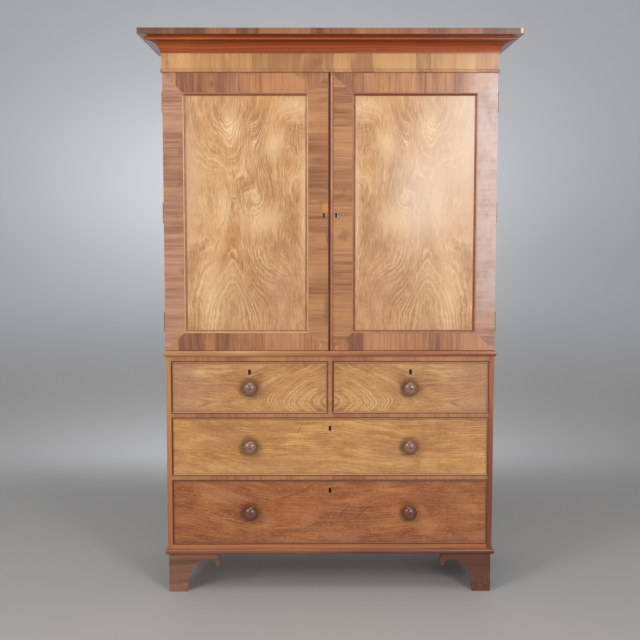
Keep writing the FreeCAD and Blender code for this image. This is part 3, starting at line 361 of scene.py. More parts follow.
def scratch(net, start, end):
    """A fine straight scratch on a front, from 0 to 1 at its middle line."""
    run_x, run_z = end[0] - start[0], end[1] - start[1]
    off_x, off_z = net.x - start[0], net.z - start[1]
    share = ((off_x * run_x + off_z * run_z) / (run_x ** 2 + run_z ** 2)).least(1.0).most(0.0)
    return distance(off_x - share * run_x, off_z - share * run_z).ramp(SCRATCH_WIDTH, 0.0)


Keyhole = namedtuple("Keyhole", "x z radius half_slot drop")
KEYHOLE_DEPTH = 0.016
# How far the black reaches past a keyhole's edges and foot: where it ends and where it is full.
KEYHOLE_EDGE, KEYHOLE_FOOT = (0.0009, 0.0004), (0.0012, 0.0006)


def fade(measure, edge, reach):
    """From 0 to 1 near an edge. Reach is where it is 0 and where it is 1, measured from the edge."""
    return measure.ramp(edge + reach[0], edge + reach[1])


def keyhole_shade(net, colour, hole, front):
    """Blackens a keyhole's walls and what shows through it: a round hole over a slot."""
    beside, below = abs(net.x - hole.x), hole.z - net.z
    round_part = fade(distance(beside, below), hole.radius, KEYHOLE_EDGE)
    slot = fade(beside, hole.half_slot, KEYHOLE_EDGE)
    slot = slot * below.ramp(-0.001, 0.0) * fade(below, hole.drop, KEYHOLE_FOOT)
    near_front = net.y.ramp(front + KEYHOLE_DEPTH + 0.002, front + KEYHOLE_DEPTH)
    return net.blend(colour, BLACK, round_part.most(slot) * near_front)


# -------- door panels

# A panel is measured from its outer lower corner: u inwards and w upwards. The rings come out as
# tall arches that rise over its lower half and as a V that hangs over its upper half.
PANEL_SEED = 2.0
PANEL_SPACING = 0.0098
AXIS_FOOT, AXIS_LEAN = 0.181, -0.016
ARCH_DEPTH, VEE_DEPTH = 0.125, 0.120
ARCH_RISE, VEE_FALL = (-0.06, 0.40), (0.52, 0.88)
BLUNT_FOOT, BLUNT_MIDDLE = 0.055, 0.020

# Eddies round old knots: middle across and up, half width and height, and metres of rings lifted.
PANEL_EDDIES = [
    (0.392, 0.750, 0.066, 0.100, 0.125),
    (0.140, 0.500, 0.026, 0.085, 0.032),
    (0.246, 0.735, 0.020, 0.050, 0.026),
    (0.300, 0.500, 0.050, 0.080, -0.055),
    (0.400, 0.540, 0.050, 0.070, 0.045),
    (0.420, 0.840, 0.045, 0.045, -0.045),
    (0.380, 0.170, 0.080, 0.140, -0.060),
    (0.245, 0.590, 0.035, 0.045, -0.030),
]
# Soft spots: middle across and up, half width and half height.
LINED_SPOTS = [(0.181, 0.080, 0.080, 0.150), (0.170, 0.780, 0.070, 0.080), (0.325, 0.690, 0.045, 0.075),
               (0.230, 0.550, 0.070, 0.090), (0.210, 0.290, 0.060, 0.050), (0.080, 0.200, 0.060, 0.200)]
PALE_SPOTS = [(0.173, 0.765, 0.026, 0.050), (0.335, 0.700, 0.032, 0.050), (0.145, 0.470, 0.024, 0.075),
              (0.412, 0.836, 0.050, 0.040), (0.300, 0.420, 0.070, 0.060), (0.100, 0.140, 0.050, 0.140),
              (0.448, 0.450, 0.016, 0.260), (0.030, 0.560, 0.045, 0.200)]
PINK_SPOTS = [(0.370, 0.140, 0.080, 0.130), (0.015, 0.600, 0.040, 0.300), (0.170, 0.880, 0.080, 0.018)]
ORANGE_SPOTS = [(0.385, 0.630, 0.032, 0.024), (0.175, 0.350, 0.022, 0.050), (0.300, 0.850, 0.060, 0.050)]
OLIVE_SPOTS = [(0.181, 0.110, 0.060, 0.110)]
# Painted sheen: where a pale reflection lies on the right panel.
PAINTED_SHEEN_SPOTS = [(0.000, 0.800, 0.170, 0.300), (0.200, 0.500, 0.120, 0.200)]
PANEL_LAP = 0.0085


def spots(u, w, places):
    """The sum of some soft oval spots."""
    return sum(oval(u, w, *place) for place in places)


def panel_rings(net, u, w):
    """The rings of a leaning log cut lengthwise: blunt arches with straight spreading legs."""
    wander = (net.noise(w * 3.2, 4.0, 0.0) - 0.5) * 0.024
    axis = w * AXIS_LEAN + wander + AXIS_FOOT
    depth = (w.ramp(*ARCH_RISE) * ARCH_DEPTH - w.ramp(*VEE_FALL) * VEE_DEPTH) * u.ramp(-0.03, 0.15)
    bluntness = w.ramp(0.16, 0.0) * (BLUNT_FOOT - BLUNT_MIDDLE) + BLUNT_MIDDLE
    lively = w.ramp(0.20, 0.42) * w.ramp(0.92, 0.74) * u.ramp(0.06, 0.13)
    sway = (net.noise(u * 7, w * 3.2, PANEL_SEED) - 0.5) * 0.05 * u.ramp(0.0, 0.15)
    curl = (net.noise(u * 13, w * 7, PANEL_SEED + 5, detail=3) - 0.5) * 0.055 * lively
    shiver = (net.noise(u * 70, w * 36, PANEL_SEED + 8, detail=3) - 0.5) * 0.013
    rings = distance(u - axis + sway, bluntness) + depth + curl + shiver
    for *place, lift in PANEL_EDDIES:
        rings = rings + oval(u, w, *place) * lift
    return rings


def door_panel(side):
    """Book-matched flame veneer: the right panel mirrors the left one."""
    name = f"{side}_door_panel"
    low, high = span(name)
    net = Net(name + "_veneer")
    outer, inner = low.x + PANEL_LAP, high.x - PANEL_LAP
    u = net.x - outer if side == "left" else inner - net.x
    w = net.z - (low.z + PANEL_LAP)
    wide, tall = inner - outer, high.z - low.z - 2 * PANEL_LAP
    patchy = net.noise(u * 12, w * 5, PANEL_SEED * 2.0, detail=3).ramp(0.42, 0.64)
    cream = patchy * 0.46 + spots(u, w, LINED_SPOTS) * 0.65 + 0.12
    brown = patchy * 0.18 + spots(u, w, OLIVE_SPOTS) * 0.34 + 0.14
    colour, relief = figured(net, PANEL_WOOD, panel_rings(net, u, w), u, w, net.y,
                             PANEL_SEED, PANEL_SPACING, cream, brown)
    veins = net.noise(u / 0.0050, w / 0.034, PANEL_SEED + 17.0, detail=3, roughness=0.65)
    colour = net.blend(colour, PALE_FLECK, veins.ramp(0.54, 0.68) * 0.5)
    colour = net.blend(colour, PANEL_WOOD.pore, veins.ramp(0.44, 0.32) * 0.3)
    pink = spots(u, w, PINK_SPOTS)
    ripple = net.noise(u * 12, w * 62, PANEL_SEED + 1.0).ramp(0.5, 0.68)
    colour = net.blend(colour, PANEL_WOOD.dark, ripple * pink * 0.5)
    colour = net.blend(colour, PANEL_WOOD.streak, spots(u, w, PALE_SPOTS) * 0.5)
    colour = net.blend(colour, PINK, pink * 0.45)
    colour = net.blend(colour, ORANGE, spots(u, w, ORANGE_SPOTS) * 0.4)
    colour = net.blend(colour, OLIVE, spots(u, w, OLIVE_SPOTS) * 0.4)
    # Painted sheen: a pale reflection over the right panel's outer upper part.
    if side == "right":
        colour = net.blend(colour, PAINTED_SHEEN, spots(u, w, PAINTED_SHEEN_SPOTS) * 0.6)
    # Painted shade round the panel's edges, in the recess beside its mouldings.
    edge = u.least(wide - u).least(w.least(tall - w))
    colour = net.blend(colour, GRIME_AND_SHADE, edge.ramp(0.009, 0.0) * 0.25)
    core, _ = plain_wood(net, CASE_WOOD, net.z, net.x, net.y, PANEL_SEED + len(side))
    colour = veneered(net, colour, core, low.y)
    gloss = net.noise(net.x * 7, net.z * 7, PANEL_SEED).ramp(0.3, 0.7) * 0.08 + 0.36
    wear(name, material=net.finish(colour, gloss, 0.3, relief, 0.10))


# -------- door frames

# Marks on the frames: middle x and z, half width and height, colour and strength.
FRAME_MARKS = [
    (-0.434, 1.910, 0.010, 0.010, GRIME_AND_SHADE, 0.45),
    (-0.009, 1.345, 0.006, 0.026, GRIME_AND_SHADE, 0.55),
    (-0.010, 1.090, 0.012, 0.060, GRIME_AND_SHADE, 0.45),
    (0.580, 1.432, 0.008, 0.012, GRIME_AND_SHADE, 0.22),
    (-0.330, 0.960, 0.040, 0.030, GRIME_AND_SHADE, 0.25),
    (-0.020, 1.700, 0.030, 0.090, MOULDING_WOOD.light, 0.35),
]
CUP_RING_PLACE, CUP_RING_RADIUS = (0.5835, 1.588), 0.0095
REPAIR_PLACE, REPAIR_HALF = (-0.016, 1.4575), (0.0125, 0.0165)
DOOR_KEYHOLES = {"left": Keyhole(-0.0234, 1.4345, 0.0036, 0.0022, 0.012),
                 "right": Keyhole(0.022, 1.4345, 0.0036, 0.0022, 0.012)}


def mitre(net, side):
    """How far a point lies into the rails' veneer rather than the stiles': 0 along the mitres."""
    panel_low, panel_high = span(f"{side}_door_panel")
    rails_low, rails_high = span(f"{side}_door_rails")
    stiles = [span(f"{side}_door_{part}_stile") for part in ("hinge", "lock")]
    left, right = min(low.x for low, high in stiles), max(high.x for low, high in stiles)
    near, far = panel_low.x + PANEL_LAP, panel_high.x - PANEL_LAP
    foot, head = panel_low.z + PANEL_LAP, panel_high.z - PANEL_LAP
    out_x = ((near - net.x) / (near - left)).most((net.x - far) / (right - far))
    out_z = ((foot - net.z) / (foot - rails_low.z)).most((net.z - head) / (rails_high.z - head))
    return out_z - out_x


def door_frame_wood(net, side, seed):
    """Crossbanding over the whole frame: grain across each member, mitred at the corners."""
    stile_wood = mixed(net, OUTER_STILE_WOOD, LOCK_STILE_WOOD, abs(net.x).ramp(0.40, 0.20))
    upright, upright_relief = crossband(net, stile_wood, net.x, net.z, net.y, seed, mauve=0.12)
    rail_wood = mixed(net, LOW_RAIL_WOOD, TOP_RAIL_WOOD, net.z.ramp(1.2, 1.6))
    level, level_relief = crossband(net, rail_wood, net.z, net.x, net.y, seed + 5.1, mauve=0.22)
    into_rail = mitre(net, side)
    rail = into_rail.ramp(-0.02, 0.02)
    colour = net.blend(upright, level, rail)
    blotches = net.noise(net.x * 24, net.z * 15, seed, detail=5, roughness=0.7).ramp(0.35, 0.65)
    # Painted sheen: a pale pink reflection in blotches over the right door's outer side.
    sheen = net.x.ramp(0.44, 0.60) * (blotches * 0.5 + 0.35) * (net.z.ramp(0.98, 1.20) * 0.8 + 0.2)
    colour = net.blend(colour, SHEEN_PINK, sheen)
    joint = into_rail.hill(0.0, 0.03) * net.noise(net.x * 30, net.z * 30, seed).ramp(0.35, 0.6)
    colour = net.blend(colour, GREY_BLOOM, joint * 0.4)
    return colour, upright_relief * (1.0 - rail) + level_relief * rail


def frame_marks(net, colour, front):
    """Dark and reddish spots, the ring left by a cup, and a small orange repair by the left keyhole."""
    for *place, tone, strength in FRAME_MARKS:
        colour = net.blend(colour, tone, oval(net.x, net.z, *place) * strength)
    away = distance(net.x - CUP_RING_PLACE[0], net.z - CUP_RING_PLACE[1])
    colour = net.blend(colour, GREY_BLOOM, away.hill(CUP_RING_RADIUS, 0.002) * 0.5)
    beside = abs(net.x - REPAIR_PLACE[0]) / REPAIR_HALF[0]
    above = abs(net.z - REPAIR_PLACE[1]) / REPAIR_HALF[1]
    face = net.y.ramp(front + 0.001, front + 0.0005)
    return net.blend(colour, FILLER_ORANGE, beside.most(above).ramp(1.1, 0.9) * face * 0.85)


MOULDING_CREST_SHARE = {"left": 0.5, "right": 0.2}
# Painted light on a door moulding: crest highlight and foot shade from its front, head shade from its top.
CREST_REACH, FOOT_REACH, TOP_REACH = (0.0016, 0.0004), (0.0035, 0.006), (-0.013, -0.010)


def door_mouldings(side, seed):
    """The beads round the panel and the astragal: a painted highlight on the crest, painted shade on the
    foot and head.
    """
    for part in ("panel_moulding", "astragal"):
        name = f"{side}_door_{part}"
        if name not in nodes:
            continue
        net = Net(name + "_wood")
        look = PALE_MOULDING_WOOD if side == "left" else MOULDING_WOOD
        colour, relief = plain_wood(net, look, net.z, net.x + net.z, net.y, seed, pitch=0.006)
        low, high = span(name)
        crest = MOULDING_CREST_SHARE[side]
        # Painted highlight on the crest, painted shade on the head and on the recessed foot.
        colour = net.blend(colour, CREST_HIGHLIGHT, fade(net.y, low.y, CREST_REACH) * crest)
        colour = net.blend(colour, MOULDING_WOOD.dark, fade(net.z, high.z, TOP_REACH) * 0.6)
        colour = net.blend(colour, GRIME_AND_SHADE, fade(net.y, low.y, FOOT_REACH) * 0.5)
        dress(name, net, colour, DOOR_BEAD_GLOSS, relief)


def door_frames():
    for side, seed in (("left", 1.7), ("right", 6.3)):
        for part in ("hinge_stile", "lock_stile", "rails"):
            name = f"{side}_door_{part}"
            front = span(name)[0].y
            net = Net(name + "_crossband")
            colour, relief = door_frame_wood(net, side, seed)
            colour = frame_marks(net, colour, front)
            along, across = (net.x, net.z) if part == "rails" else (net.z, net.x)
            core, _ = plain_wood(net, CASE_WOOD, along, across, net.y, seed + len(part))
            colour = veneered(net, colour, core, front)
            if part == "lock_stile":
                colour = keyhole_shade(net, colour, DOOR_KEYHOLES[side], front)
            dress(name, net, colour, FRAME_GLOSS, relief)
        door_mouldings(side, seed)


# -------- drawer fronts

# A drawer front: its wood, seed and line spacing, its paler places (middle x and z, half width and
# height), where its grain climbs (from x, to x, rise), its scratches (start and end), and how brightly
# its cockbead and the bead's lit foot show.
Front = namedtuple("Front", "wood seed spacing pale_places climbs scratches cockbead lit_bead",
                   defaults=((), (), 1.0, 0.55))
DRAWERS = {
    "upper_left_drawer": Front(WARM_DRAWER_WOOD, 3.0, 0.0066, [(-0.480, 0.840, 0.060, 0.016)]),
    "upper_right_drawer": Front(WARM_DRAWER_WOOD, 3.0, 0.0066, [(0.440, 0.835, 0.050, 0.018)]),
    "middle_drawer": Front(
        PALE_DRAWER_WOOD, 8.0, 0.0092,
        [(-0.300, 0.480, 0.140, 0.014), (0.300, 0.500, 0.160, 0.020), (-0.480, 0.590, 0.080, 0.022)],
        [(-0.60, -0.25, 0.08), (-0.02, 0.30, 0.04)], [((-0.123, 0.614), (-0.108, 0.640))]),
    "lower_drawer": Front(
        DARK_DRAWER_WOOD, 12.0, 0.0110,
        [(-0.450, 0.360, 0.070, 0.032), (-0.230, 0.255, 0.120, 0.014), (0.350, 0.262, 0.100, 0.014),
         (0.180, 0.395, 0.120, 0.012), (0.540, 0.330, 0.040, 0.060)],
        [(-0.60, -0.15, 0.08), (0.05, 0.50, -0.03)],
        [((-0.064, 0.4166), (-0.108, 0.387)), ((-0.108, 0.387), (-0.181, 0.3636)),
         ((0.039, 0.3006), (0.0765, 0.3366)), ((0.095, 0.287), (0.1457, 0.330)),
         ((0.036, 0.292), (0.060, 0.322))],
        0.4, 0.10),
}
# The cockbead's width, how deep the front's veneer goes, and how far in from the edge painted shade darkens
# the front.
BEAD_WIDTH, BEAD_DEPTH, EDGE_SHADE_REACH = 0.0035, 0.008, 0.011
# A drawer's keyhole: how far below the top of the front, its radius, half its slot and its drop.
KEYHOLE_BELOW_TOP, DRAWER_KEYHOLE = 0.0328, (0.0048, 0.0043, 0.014)
# Where the dark halo round a knob ends and where it is full, in radii: partly hands' dirt, partly painted
# shadow.
HALO_END, HALO_FULL = 1.9, 0.9


def short_drawer_rings(net, h, seed):
    """A fan that opens towards the partition, and small arches at the outer end."""
    out = abs(net.x)
    depth = out.ramp(-0.02, 0.34) * 0.150 - out.ramp(0.40, 0.58) * 0.012
    sway = (net.noise(out * 7, h * 13, seed, detail=3) - 0.5) * 0.040
    fan = oval(out, h, 0.13, 0.045, 0.13, 0.062)
    arches = oval(out, h, 0.47, 0.03, 0.09, 0.05)
    cream = fan + arches * 0.25 + net.noise(out * 7, h * 16, seed + 2).ramp(0.45, 0.7) * 0.25 + 0.08
    return distance(h - 0.041 + sway, 0.030) + depth, cream


def long_drawer_rings(net, h, seed, climbs):
    """Nearly level grain that climbs or falls in places."""
    climb = sum(net.x.ramp(start, end) * rise for start, end, rise in climbs)
    sway = (net.noise(net.x * 3, h * 9, seed, detail=3) - 0.5) * 0.034
    curl = (net.noise(net.x * 12, h * 26, seed + 3) - 0.5) * 0.008
    cream = net.noise(net.x * 5, h * 14, seed + 2, detail=3).ramp(0.45, 0.66) * 0.45 + 0.12
    return h + climb + sway + curl, cream


def drawer_keyhole(name):
    low, high = span(f"{name}_front")
    return Keyhole((low.x + high.x) / 2, high.z - KEYHOLE_BELOW_TOP, *DRAWER_KEYHOLE)


def from_knobs(net, name):
    """How far a point of a drawer lies from the middle of its nearest knob, and a knob's radius."""
    low, high = span(f"{name}_knobs")
    radius = (high.z - low.z) / 2
    beside = abs(net.x - low.x - radius).least(abs(net.x - high.x + radius))
    return distance(beside, net.z - low.z - radius), radius


def fading(net, colour, h, seed):
    """Rosy and dull patches, and pale flecks and dark pores along the grain."""
    rosy = net.noise(net.x * 7, h * 13, seed + 21.0, detail=3).ramp(0.48, 0.66)
    colour = net.blend(colour, ROSE, rosy * 0.4)
    bloom = net.noise(net.x * 16, h * 34, seed + 13.0, detail=5, roughness=0.7).ramp(0.5, 0.68)
    colour = net.blend(colour, DULL, bloom * 0.3)
    fleck = net.noise(net.x / 0.011, h / 0.0026, seed + 17.0)
    colour = net.blend(colour, PALE_FLECK, fleck.ramp(0.58, 0.72) * 0.45)
    return net.blend(colour, GRIME_AND_SHADE, fleck.ramp(0.40, 0.28) * 0.35)


def drawer_front(name, drawer):
    node = f"{name}_front"
    low, high = span(node)
    net = Net(node + "_veneer")
    h = net.z - low.z
    seed = drawer.seed
    upper = name.startswith("upper")
    if upper:
        rings, cream = short_drawer_rings(net, h, seed)
        along = abs(net.x)
    else:
        rings, cream = long_drawer_rings(net, h, seed, drawer.climbs)
        along = net.x
    colour, relief = figured(net, drawer.wood, rings, h, along, net.y, seed, drawer.spacing, cream)
    if upper:
        colour = net.blend(colour, PINK, along.ramp(0.33, 0.56) * 0.45)
    patchy = net.noise(net.x * 16, net.z * 60, seed, detail=3).ramp(0.3, 0.6)
    for place in drawer.pale_places:
        colour = net.blend(colour, drawer.wood.streak, oval(net.x, net.z, *place) * patchy * 0.5)
    colour = fading(net, colour, h, seed)
    away, radius = from_knobs(net, name)
    # The dark halo round each knob: partly dirt from hands, partly the knob's painted shadow.
    colour = net.blend(colour, HALO, away.ramp(radius * HALO_END, radius * HALO_FULL) * 0.55)
    edge = (net.x - low.x).least(high.x - net.x).least(h.least(high.z - net.z))
    dents = net.noise(net.x * 110, net.z * 110, seed, detail=1).ramp(0.74, 0.80)
    # Real scratches and dents, and painted shade inside the cockbead: a broad darkening towards it and a
    # dark line in the crease beside it.
    colour = net.blend(colour, GRIME_AND_SHADE, *[scratch(net, *ends) * 0.8 for ends in drawer.scratches],
                       edge.ramp(EDGE_SHADE_REACH, BEAD_WIDTH) * 0.2,
                       edge.hill(BEAD_WIDTH + 0.0004, 0.0007) * 0.4, dents * 0.5)
    # The bead is darker at the left end: partly its own tone, partly painted shade.
    bead = net.blend(DARK_BEAD, COCKBEAD, net.x.ramp(low.x, low.x + 0.01) * drawer.cockbead)
    colour = net.blend(colour, bead, edge.ramp(BEAD_WIDTH + 0.0001, BEAD_WIDTH - 0.0003))
    colour = net.blend(colour, LIT_BEAD, h.ramp(BEAD_WIDTH, BEAD_WIDTH - 0.0006) * drawer.lit_bead)
    core, _ = plain_wood(net, PINE, net.x, net.z, net.y, seed)
    colour = veneered(net, colour, core, low.y, BEAD_DEPTH)
    colour = keyhole_shade(net, colour, drawer_keyhole(name), low.y)
    dress(node, net, colour, CASE_GLOSS, relief)


def drawer_fronts():
    for name, drawer in DRAWERS.items():
        drawer_front(name, drawer)


# -------- the cases and mouldings

# Where the dark line round a drawer ends and where it is full, from each edge of the front.
SHUT_LEFT, SHUT_RIGHT = (-0.0036, -0.0022), (0.0042, 0.0028)
SHUT_UNDER, SHUT_OVER = (-0.0042, -0.0028), (0.0044, 0.0030)
SHUT_STRENGTH = 0.85
FACING = 0.003
# The woods of the facings on the base's sides, at the foot and at the head.
EDGE_WOODS = {"base_side_left": (BOTTOM_RAIL_WOOD, PALE_MOULDING_WOOD),
              "base_side_right": (EDGE_WOOD, MOULDING_WOOD)}


def shut_lines(net, colour):
    """The dark lines that the shadow gaps draw on the framing close round each drawer."""
    for name in DRAWERS:
        low, high = span(f"{name}_front")
        beside = fade(net.x, low.x, SHUT_LEFT) * fade(net.x, high.x, SHUT_RIGHT)
        level = fade(net.z, low.z, SHUT_UNDER) * fade(net.z, high.z, SHUT_OVER)
        colour = net.blend(colour, SHADOW, beside * level * SHUT_STRENGTH)
    return colour


def case_sides():
    """Mahogany sides, with a facing on the front edges of the base."""
    for name, seed in (("base_side_left", 1.0), ("base_side_right", 4.0),
                       ("upper_side_left", 7.0), ("upper_side_right", 9.5)):
        net = Net(name + "_mahogany")
        colour, relief = plain_wood(net, CASE_WOOD, net.z, net.y, net.x, seed, pitch=0.03)
        if name in EDGE_WOODS:
            front = span(name)[0].y
            look = mixed(net, *EDGE_WOODS[name], net.z.ramp(0.30, 0.75))
            facing, _ = plain_wood(net, look, net.z, net.x, net.y, seed + 2.0, pitch=0.006)
            colour = veneered(net, shut_lines(net, facing), colour, front, FACING)
        dress(name, net, colour, CASE_GLOSS, relief)


def rails_and_partition():
    net = Net("front_rails_crossband")
    colour, relief = crossband(net, RAIL_WOOD, net.z, net.x, net.y, 3.3, mauve=0.12)
    dress("base_front_rails", net, shut_lines(net, colour), CASE_GLOSS, relief)
    net = Net("partition_crossband")
    colour, relief = crossband(net, RAIL_WOOD, net.x, net.z, net.y, 5.3, mauve=0.12)
    dress("short_drawer_partition", net, shut_lines(net, colour), CASE_GLOSS, relief)


def running_moulding(net, look, seed):
    """A moulding whose grain runs along the front and back along the sides."""
    return plain_wood(net, look, net.x + net.y, net.z * 1.3, net.y * 0.02, seed, pitch=0.008)


def base_mouldings():
    """The waist and plinth mouldings: paler at the left, redder at the right."""
    for name, pale, red, seed in (("waist_moulding", PALE_MOULDING_WOOD, MOULDING_WOOD, 2.0),
                                  ("plinth_moulding", PALE_PLINTH_WOOD, PLINTH_WOOD, 5.0)):
        net = Net(name + "_wood")
        colour, relief = running_moulding(net, mixed(net, pale, red, net.x.ramp(-0.6, 0.5)), seed)
        dress(name, net, colour, MOULDING_GLOSS, relief)


# Above the cornice moulding's foot: its torus's two quirks and where its cove darkens, all painted shade.
CORNICE_QUIRKS = (0.0400, 0.0522)
COVE_SHADE = (0.016, 0.038)


def cornice_moulding():
    """A red cove under a torus, with painted shade in the quirks and over the cove's upper part."""
    net = Net("cornice_moulding_wood")
    colour, relief = running_moulding(net, CORNICE_WOOD, 8.0)
    rise = net.z - span("cornice_moulding")[0].z
    cove = rise.ramp(*COVE_SHADE) * rise.ramp(CORNICE_QUIRKS[0] + 0.0008, CORNICE_QUIRKS[0])
    # Painted shade over the cove's upper part under the torus, and in the quirks.
    colour = net.blend(colour, CORNICE_WOOD.pore, cove * 0.25)
    colour = net.blend(colour, GRIME_AND_SHADE, *[rise.hill(quirk, 0.0014) * 0.7 for quirk in CORNICE_QUIRKS])
    dress("cornice_moulding", net, colour, MOULDING_GLOSS, relief)


# The frieze: its facing, and the top of the bead along its foot. The fascia: bare wood near its right end.
FRIEZE_SKIN, FRIEZE_BEAD = 0.010, 0.0118
CHIP_START, CHIP_END, CHIP_FOOT = (-0.013, -0.011), (-0.002, -0.003), (0.002, 0.005)


def frieze_and_fascia():
    net = Net("frieze_veneer_wood")
    low, high = span("cornice_frieze")
    colour, relief = crossband(net, FRIEZE_WOOD, net.z, net.x + net.y, net.y * 0.02, 2.4,
                               piece=0.075, mauve=0.0, patch=0.3)
    rise = net.z - low.z
    colour = net.blend(colour, MOULDING_WOOD.dark, rise.ramp(0.0125, 0.0115) * 0.25)
    # Painted shade in the crease along the top of the bead.
    colour = net.blend(colour, GRIME_AND_SHADE, rise.hill(FRIEZE_BEAD, 0.0014) * 0.35)
    colour = pine_behind(net, colour, "cornice_frieze", 12.0, FRIEZE_SKIN)
    dress("cornice_frieze", net, colour, FRIEZE_GLOSS, relief)
    net = Net("fascia_crossband_wood")
    colour, relief = crossband(net, FASCIA_WOOD, net.z, net.x + net.y, net.y * 0.02, 7.7,
                               piece=0.09, mauve=0.2, patch=0.3)
    low, high = span("cornice_fascia")
    chip = fade(net.x, high.x, CHIP_START) * fade(net.x, high.x, CHIP_END)
    colour = net.blend(colour, BARE_WOOD, chip * fade(net.z, low.z, CHIP_FOOT) * 0.85)
    colour = pine_behind(net, colour, "cornice_fascia", 15.0, VENEER)
    dress("cornice_fascia", net, colour, FASCIA_GLOSS, relief)


FEET = ("front_left_foot", "front_right_foot", "back_left_foot", "back_right_foot")


def feet():
    for number, name in enumerate(FEET):
        net = Net(name + "_mahogany")
        look = LEFT_FOOT_WOOD if "left" in name else RIGHT_FOOT_WOOD
        colour, relief = plain_wood(net, look, net.x + net.y, net.z, net.y * 0.02, 3.0 + number)
        scuff = net.noise(net.x * 60, net.y * 60, net.z * 90, detail=3).ramp(0.55, 0.72)
        colour = net.blend(colour, GREY_BLOOM, scuff * net.z.ramp(0.06, 0.0) * 0.5)
        dress(name, net, colour, FOOT_GLOSS, relief)


# -------- inside and behind

BACK_BOARD_COUNT = 4
# Drawer boxes: side and back thickness, and the top of the bottom above the box's foot.
BOX_SIDE, BOX_BACK, BOX_FLOOR = 0.010, 0.010, 0.019
BOX_SEAM = 0.0004
# Where the dark line at a joint of the back boards ends and where it is full.
BOARD_JOINT = (0.0022, 0.0006)


def drawer_boxes():
    """Oak boxes. The grain runs back along the sides and bottoms, and across along the backs."""
    for number, name in enumerate(DRAWERS):
        net = Net(name + "_oak")
        low, high = span(f"{name}_box")
        seed = 2.0 + number
        colour, relief = plain_wood(net, OAK, net.y, net.z, net.x, seed, pitch=0.014)
        bottom, _ = plain_wood(net, OAK, net.y, net.x, net.z, seed + 4.0, pitch=0.014)
        back, _ = plain_wood(net, OAK, net.x, net.z, net.y, seed + 8.0, pitch=0.014)
        between = (net.x - low.x).least(high.x - net.x).ramp(BOX_SIDE, BOX_SIDE + BOX_SEAM)
        floor = low.z + BOX_FLOOR
        colour = net.blend(colour, bottom, between * net.z.ramp(floor + BOX_SEAM, floor))
        above_floor = net.z.ramp(floor, floor + BOX_SEAM)
        in_back = net.y.ramp(high.y - BOX_BACK - BOX_SEAM, high.y - BOX_BACK)
        colour = net.blend(colour, back, between * above_floor * in_back)
        dress(f"{name}_box", net, colour, BOX_GLOSS, relief)


def back_boards():
    """Dusty pine boards set edge to edge, each of its own tone, with a dark line at each joint."""
    for number, name in enumerate(("base_back_boards", "upper_back_boards")):
        low, high = span(name)
        net = Net(name + "_pine")
        colour, relief = plain_wood(net, PINE, net.z, net.x, net.y, 1.0 + 3 * number, pitch=0.02)
        wide = (high.x - low.x) / BACK_BOARD_COUNT
        share = (net.x - low.x) / wide
        off_joint = abs(share - (share + 0.5).floor()) * wide
        colour = net.blend(colour, GRIME_AND_SHADE, off_joint.ramp(*BOARD_JOINT) * 0.8)
        tone = net.chance(share.floor() + number * 10.0)
        colour = net.blend(colour, PINE.dark, tone * 0.35)
        dust = net.noise(net.x * 5, net.z * 4, 3.0, detail=4).ramp(0.45, 0.7)
        colour = net.blend(colour, GREY_BLOOM, dust * 0.3)
        dress(name, net, colour, BACK_GLOSS, relief)


CARCASS_BOARDS = ("base_top_board", "base_bottom_board", "upper_top_board", "upper_bottom_board")


def carcass():
    for number, name in enumerate(CARCASS_BOARDS):
        net = Net(name + "_pine")
        colour, relief = plain_wood(net, PINE, net.x, net.y, net.z, 2.0 + 3 * number, pitch=0.02)
        if name == "base_bottom_board":
            front = span(name)[0].y
            facing, _ = plain_wood(net, BOTTOM_RAIL_WOOD, net.x, net.z, net.y, 8.3, pitch=0.008)
            colour = veneered(net, shut_lines(net, facing), colour, front, FACING)
        dress(name, net, colour, BOARD_GLOSS, relief)
    for number, name in enumerate(("drawer_runners", "tray_runners")):
        net = Net(name + "_pine")
        colour, relief = plain_wood(net, PINE, net.y, net.x, net.z, 4.0 + 3 * number, pitch=0.012)
        dress(name, net, colour, RUNNER_GLOSS, relief)
    net = Net("linen_trays_oak")
    colour, relief = plain_wood(net, OAK, net.x, net.z + net.y, net.y * 0.1, 6.0, pitch=0.016)
    dress("linen_trays", net, colour, BOARD_GLOSS, relief)


# -------- knobs, brass and steel

KNOB_SEED = 1.0
# A knob's dimple: where it ends and is full. In radii: a dark turned line, and where the rim darkens.
DIMPLE, TURNED_LINE, DARK_RIM = (0.0032, 0.0020), 0.62, 0.82


def knobs():
    """Turned mahogany knobs, darker towards the rim, with the dimple of the lathe's centre."""
    for name in DRAWERS:
        node = f"{name}_knobs"
        net = Net(node + "_wood")
        look = LOW_KNOB_WOOD if name == "lower_drawer" else KNOB_WOOD
        colour, relief = plain_wood(net, look, net.x, net.z, net.y, KNOB_SEED, pitch=0.008, contrast=0.5)
        away, radius = from_knobs(net, name)
        colour = net.blend(colour, look.pore, away.ramp(*DIMPLE) * 0.85,
                           away.hill(radius * TURNED_LINE, 0.0012) * 0.4,
                           away.ramp(radius * DARK_RIM, radius) * 0.7)
        dress(node, net, colour, KNOB_GLOSS, relief)


# A metal's bright and stained tones, its roughness and its seed.
Metal = namedtuple("Metal", "bright stained roughness seed")
BRASS, DULL_BRASS = linear("bb9560"), linear("7c5e3a")
STEEL, DULL_STEEL = linear("a8a49c"), linear("5c564e")
AGED_BRASS = Metal(BRASS, DULL_BRASS, 0.28, 2.0)
AGED_STEEL = Metal(STEEL, DULL_STEEL, 0.28, 5.0)
SCREW_BRASS = Metal(BRASS, DULL_BRASS, 0.25, 9.0)
NAIL_IRON = Metal(DULL_STEEL, GRIME_AND_SHADE, 0.45, 4.0)


